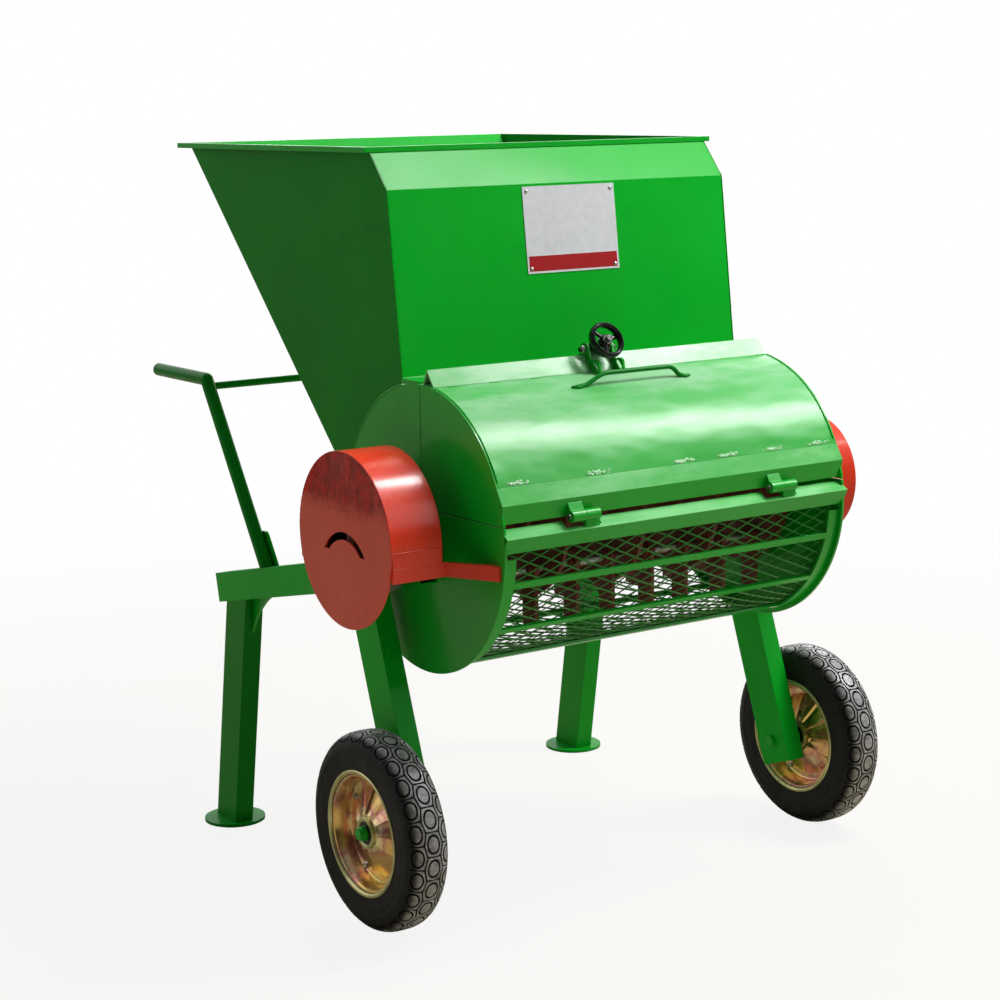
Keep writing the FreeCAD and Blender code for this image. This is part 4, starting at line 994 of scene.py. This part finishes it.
def spoke(form, middle, axis, out, rim_radius):
    side = axis.cross(out)
    rings = []
    for share in spoke_shares:
        reach = spoke_start + (rim_radius - spoke_shorter) * share
        wide = spoke_half - spoke_waist * math.sin(share * math.pi)
        sink = spoke_sink + spoke_slope * share
        rings.append(form.oval(middle + out * reach - axis * sink, side * wide,
                               axis * spoke_thick, spoke_sides))
    form.skin(rings)


def make_handwheel():
    """A dished wheel with a deep round rim, and a dull insert with a dark socket."""
    middle, axis, radius = handwheel_frame()
    form = Form()
    centre = radius - grip_wide
    rim = []
    for index in range(grip_steps + 1):
        angle = math.tau * index / grip_steps
        rim.append((grip_deep * math.cos(angle), centre + grip_wide * math.sin(angle)))
    turned(form, middle, axis, rim, 56)
    turned(form, middle, axis, hub_line, 40)
    first, second = across(axis)
    for index in range(spoke_count):
        angle = math.tau * (index + spoke_turn) / spoke_count
        out = first * math.cos(angle) + second * math.sin(angle)
        spoke(form, middle, axis, out, centre)
    new_piece(form, "handwheel_dressed", black_plastic, "clamp_wheel",
              stands_for="handwheel")
    form = Form()
    turned(form, middle, axis, insert_line, 40)
    new_piece(form, "handwheel_insert", dull_insert, "clamp_wheel", keep_deg=30.0)
    form = Form()
    form.cap(turned(form, middle, axis, socket_line, 24))
    new_piece(form, "handwheel_socket", dark_steel, "clamp_wheel")


# Rod handle of the cover

rod_radius = 0.0044
rod_sides = 12
rod_bend_reach = 0.013
rod_bow = 0.0012
rod_x = (-0.127, -0.097, -0.057, 0.106, 0.122, 0.148)
rod_foot_share = 0.3
rod_foot_wide = 1.55
rod_foot_thick = 0.5
rod_tip_share = 0.35


def rounded_line(points, reach, steps=7):
    """The same line with each corner turned into a bend."""
    line = [points[0]]
    for before, corner, after in zip(points, points[1:], points[2:]):
        start = corner + (before - corner).normalized() * reach
        end = corner + (after - corner).normalized() * reach
        for index in range(steps):
            share = index / (steps - 1)
            line.append(start.lerp(corner, share).lerp(corner.lerp(end, share), share))
    line.append(points[-1])
    return line


def rod_ring(form, line, index, side):
    """One ring of the rod, flatter and wider where its ends lie on the cover."""
    last = len(line) - 1
    up = (line[min(index + 1, last)] - line[max(index - 1, 0)]).normalized().cross(side)
    foot = index in (0, 1, last - 1, last)
    wide = rod_radius * (rod_foot_wide if foot else 1)
    wide = wide * (rod_tip_share if index in (0, last) else 1)
    thick = rod_radius * (rod_foot_thick if foot else 1)
    share = (line[index].x - rod_x[0]) / (rod_x[-1] - rod_x[0])
    bow = Vector((0, 0, rod_bow * math.sin(math.pi * share)))
    return form.oval(line[index] + bow, side * wide, up * thick, rod_sides)


def make_cover_handle():
    """A bent rod with its two ends hammered flat on the cover."""
    low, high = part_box("cover_handle")
    reach = drum_y - (low[1] + high[1]) / 2
    rise = math.sqrt(drum_radius ** 2 - reach ** 2)
    foot_z = axis_z + rise + rod_radius * rod_foot_share
    top_z = high[2] - rod_radius
    heights = (foot_z, foot_z, top_z, top_z, foot_z, foot_z)
    points = [Vector((x, drum_y - reach, z)) for x, z in zip(rod_x, heights)]
    line = rounded_line(points, rod_bend_reach)
    side = Vector((0, rise, reach)) / drum_radius
    form = Form()
    rings = [rod_ring(form, line, index, side) for index in range(len(line))]
    form.skin(rings)
    form.cap(rings[0])
    form.cap(rings[-1][::-1])
    new_piece(form, "cover_handle_dressed", handle_painted_shade_green, "cover",
              stands_for="cover_handle")


# Nameplate with nothing on it but a plain red band

plate_left = -0.095
plate_right = 0.119
plate_top = 1.320
plate_low = 1.158
plate_thick = 0.0011
band_share = 0.2
band_inset = 0.004
band_thick = 0.0002
rivet_inset = 0.009
rivet_line = ((0.0, 0.0036), (0.0009, 0.0034), (0.0017, 0.0023), (0.0021, 0.0009))


def front_normal():
    along = Vector((0, hopper_bend[0] - hopper_low[0], hopper_bend[1] - hopper_low[1]))
    along.normalize()
    return Vector((0, -along.z, along.y))


def front_sheet_point(z, x, out):
    (low_u, low_z), (high_u, high_z) = hopper_low, hopper_bend
    part = (z - low_z) / (high_z - low_z)
    return side_point(low_u + (high_u - low_u) * part, z, x) + front_normal() * out


def plate_box(name, sides, heights, near, far, material):
    """A thin box on the hopper's front sheet."""
    (left, right), (low, high) = sides, heights
    form = Form()
    corners = ((left, low), (right, low), (right, high), (left, high))
    rings = [form.ring(front_sheet_point(z, x, out) for x, z in corners)
             for out in (near, far)]
    form.skin(rings)
    form.cap(rings[0][::-1])
    form.cap(rings[1])
    new_piece(form, name, material, "frame", smooth=False)


def make_nameplate():
    split_z = plate_low + (plate_top - plate_low) * band_share
    plate_box("nameplate", (plate_left, plate_right), (plate_low, plate_top), 0.0,
              plate_thick, plate_white)
    plate_box("nameplate_band", (plate_left + band_inset, plate_right - band_inset),
              (plate_low + band_inset, split_z), plate_thick, plate_thick + band_thick,
              plate_red)
    form = Form()
    for x in (plate_left + rivet_inset, plate_right - rivet_inset):
        for z in (plate_low + rivet_inset, plate_top - rivet_inset):
            form.cap(turned(form, front_sheet_point(z, x, plate_thick), front_normal(),
                            rivet_line, 16))
    new_piece(form, "nameplate_rivets", zinc, "frame")


# Weld beads

bead_step = 0.0045
bead_sides = 6
bead_end_share = 0.3


def bead(form, path, radius, rng):
    """A rippled bead along a line of points."""
    last = len(path) - 1
    rings = []
    for index, place in enumerate(path):
        first, second = across(path[min(index + 1, last)] - path[max(index - 1, 0)])
        swell = radius * (0.78 + 0.3 * rng.random() + (0.12 if index % 2 else -0.12))
        if index in (0, last):
            swell = radius * bead_end_share
        rings.append(form.oval(place, first * swell, second * swell, bead_sides))
    form.skin(rings)


def straight(start, end):
    count = max(2, int((end - start).length / bead_step))
    return [start.lerp(end, index / count) for index in range(count + 1)]


def round_path(radius, start_deg, end_deg, x):
    sweep_deg = end_deg - start_deg
    count = max(2, int(abs(math.radians(sweep_deg)) * radius / bead_step))
    return [drum_point(radius, start_deg + sweep_deg * index / count, x)
            for index in range(count + 1)]


plate_bead = 0.0022
plate_bead_gap = 0.0006
plate_bead_start_deg = 12.0
plate_bead_end_deg = 76.5
corner_bead = 0.0012
hopper_bead_proud = 0.0002
hopper_bead_top = 1.392
sill_bead = 0.0016


def make_frame_welds():
    rng = random.Random(3)
    form = Form()
    for side in (-1, 1):
        edge = (hopper_half + hopper_bead_proud) * side
        path = round_path(drum_radius + plate_bead_gap, plate_bead_start_deg,
                          plate_bead_end_deg, edge)
        bead(form, path, plate_bead, rng)
        corner = edge - corner_bead * side
        low = side_point(*hopper_low, corner)
        bend = side_point(*hopper_bend, corner)
        top = side_point(hopper_top[0], hopper_bead_top, corner)
        bead(form, straight(low, bend), corner_bead, rng)
        bead(form, straight(bend, top), corner_bead, rng)
    u = hopper_low[0] + hopper_bead_proud
    path = straight(side_point(u, sill_top, -hopper_half), side_point(u, sill_top, hopper_half))
    bead(form, path, sill_bead, rng)
    new_piece(form, "frame_weld_beads", green, "frame")


seam_bead = 0.0019
seam_bead_gap = 0.0003
seam_bead_inset = 0.0052
seam_start_deg = 99.0
seam_end_deg = 154.0
stitch_bead = 0.0017
stitch_count = 9
stitch_start = -0.36
stitch_step = 0.09
stitch_length = 0.026
stitch_u = -0.0425
stitch_rise = 0.2608


def make_cover_welds():
    """Seams at both ends of the cover and short stitches along its ridge."""
    rng = random.Random(7)
    form = Form()
    for side in (-1, 1):
        path = round_path(drum_radius + seam_bead_gap, seam_start_deg, seam_end_deg,
                          (drum_half - seam_bead_inset) * side)
        bead(form, path, seam_bead, rng)
    for index in range(stitch_count):
        x = stitch_start + stitch_step * index
        path = straight(side_point(stitch_u, axis_z + stitch_rise, x),
                        side_point(stitch_u, axis_z + stitch_rise, x + stitch_length))
        bead(form, path, stitch_bead, rng)
    new_piece(form, "cover_weld_beads", green, "cover")


tack_x = (-0.345, -0.17, 0.02, 0.125, 0.235, 0.345)
tack_half = 0.030
tack_drops = 44
tack_turn_deg = 155.0
tack_turn_low = -1.2
tack_turn_high = 0.5
drop_small = 0.0010
drop_large = 0.0026

# A drop's outline in shares of its radius, each point as (height, radius)
drop_shares = ((0.0, 1.0), (0.35, 0.86), (0.55, 0.4))


def make_tack_welds():
    """Rough tack welds along the cover's lower edge, painted pale mint as a painted highlight.
    """
    rng = random.Random(19)
    form = Form()
    for centre in tack_x:
        for drop in range(tack_drops):
            x = centre + rng.triangular(-tack_half, tack_half, 0.0)
            turn = tack_turn_deg + rng.triangular(tack_turn_low, tack_turn_high, 0.0)
            size = rng.uniform(drop_small, drop_large)
            start = drum_point(drum_radius, turn, x)
            out = (start - drum_point(0.0, 0.0, x)).normalized()
            stud(form, start, out, (size, size), drop_shares, 8)
    new_piece(form, "cover_weld_spatter", painted_highlight_green, "cover")


guard_radius = 0.1595
guard_near_x = -0.4525
guard_far_x = -0.5535
guard_face_x = -0.5552
guard_bead = 0.0012
guard_face_bead = 0.0011
guard_face_inset = 0.0002


def make_guard_welds():
    rng = random.Random(11)
    form = Form()
    for sign in (-1, 1):
        start = side_point(guard_radius * sign, axis_z, guard_near_x)
        end = side_point(guard_radius * sign, axis_z, guard_far_x)
        bead(form, straight(start, end), guard_bead, rng)
    path = round_path(guard_radius - guard_face_inset, 0.0, 180.0, guard_face_x)
    bead(form, path, guard_face_bead, rng)
    new_piece(form, "guard_weld_beads", red, "frame")


# Floor and light

floor_half = 30.0
floor_drop = 0.0005
floor_color = (0.54, 0.48, 0.35)
floor_near = 0.9
floor_far = 4.0
floor_near_white = 0.87
white = (1, 1, 1)

key_place = (1.95, -1.22, 3.6)
key_size = (0.6, 2.2)
key_power = 138.0
back_place = (2.5, 2.7, 2.5)
back_size = (3.0, 1.6)
back_power = 40.0
lamp_target = (0, -0.24425, 0.8)
patch_way = (0.54, -0.70, 0.467)
patch_light = 1.6
backdrop_light = 1.1


def mix_shaders(tree, share, first, second):
    node = tree.nodes.new("ShaderNodeMixShader")
    for socket, source in zip(node.inputs, (share, first, second)):
        link(tree, source, socket)
    return node.outputs[0]


def make_floor():
    mesh = bpy.data.meshes.new("floor")
    corners = [(x * floor_half, y * floor_half, 0) for x, y in
               ((-1, -1), (1, -1), (1, 1), (-1, 1))]
    mesh.from_pydata(corners, [], [(0, 1, 2, 3)])
    floor = bpy.data.objects.new("floor", mesh)
    floor.location.z = -floor_drop
    scene.collection.objects.link(floor)
    material, tree, shader = new_material("pale_floor")
    feed(tree, shader, Base_Color=floor_color, Roughness=0.9)
    glow = tree.nodes.new("ShaderNodeEmission")
    feed(tree, glow, Color=white)
    rays = tree.nodes.new("ShaderNodeLightPath")
    away = vector_maths(tree, "LENGTH", coordinate(tree))
    share = times(tree, fade(tree, away, floor_near, floor_far, floor_near_white),
                  rays.outputs["Is Camera Ray"])
    surface = mix_shaders(tree, share, shader.outputs[0], glow.outputs[0])
    link(tree, surface, tree.nodes["Material Output"].inputs["Surface"])
    mesh.materials.append(material)


def area_light(name, place, size, power):
    data = bpy.data.lights.new(name, "AREA")
    data.shape = "RECTANGLE"
    data.size, data.size_y = size
    data.energy = power
    lamp = bpy.data.objects.new(name, data)
    lamp.location = place
    aim = Vector(lamp_target) - Vector(place)
    lamp.rotation_euler = aim.to_track_quat("-Z", "Y").to_euler()
    scene.collection.objects.link(lamp)


def backdrop(tree):
    """How bright the surroundings are in each direction, and where the backdrop lies."""
    way = split(tree, coordinate(tree, "Generated"))
    height = fade(tree, way["Z"], 0.12, 0.85, 0.03, 0.55)
    right = fade(tree, way["X"], -0.5, 0.4, 0.12)
    toward = vector_maths(tree, "DOT_PRODUCT", coordinate(tree, "Generated"), patch_way)
    patch = fade(tree, toward, 0.96, 0.99, 0.0, patch_light)
    front = plus(tree, times(tree, height, right), patch)
    behind = fade(tree, way["Y"], 0.05, 0.5)
    above = fade(tree, way["Z"], 0.1, 0.3)
    level = tree.nodes.new("ShaderNodeMix")
    bright = times(tree, maths(tree, "MAXIMUM", right, above), backdrop_light)
    number_sockets = (0, 2, 3)
    for index, source in zip(number_sockets, (behind, front, bright)):
        link(tree, source, level.inputs[index])
    return level.outputs[0], times(tree, behind, right)


def make_light():
    """A white backdrop behind the machine, darker towards the front and the left."""
    world = bpy.data.worlds.new("studio")
    scene.world = world
    world.use_nodes = True
    tree = world.node_tree
    tree.nodes.clear()
    rays = tree.nodes.new("ShaderNodeLightPath").outputs
    level, white_part = backdrop(tree)
    lit = tree.nodes.new("ShaderNodeBackground")
    feed(tree, lit, Color=white, Strength=level)
    shown = tree.nodes.new("ShaderNodeBackground")
    feed(tree, shown, Color=white, Strength=1.0)
    seen = maths(tree, "MAXIMUM", rays["Is Camera Ray"], rays["Is Transmission Ray"])
    seen = maths(tree, "MAXIMUM", seen, times(tree, rays["Is Glossy Ray"], white_part))
    output = tree.nodes.new("ShaderNodeOutputWorld")
    link(tree, mix_shaders(tree, seen, lit.outputs[0], shown.outputs[0]),
         output.inputs["Surface"])
    area_light("key", key_place, key_size, key_power)
    area_light("back", back_place, back_size, back_power)


dress_nodes()
make_screen()
for side, word in ((-1, "left"), (1, "right")):
    make_tyre(side, word)
    make_rim(side, word)
    make_wheel_fasteners(side, word)
make_axle_nuts()
make_bearing_bolts()
make_stud_nuts()
make_nameplate()
make_frame_welds()
make_cover_welds()
make_guard_welds()
make_tack_welds()
make_handwheel()
make_cover_handle()
make_camera()
make_floor()
make_light()
scene.view_settings.view_transform = "Standard"
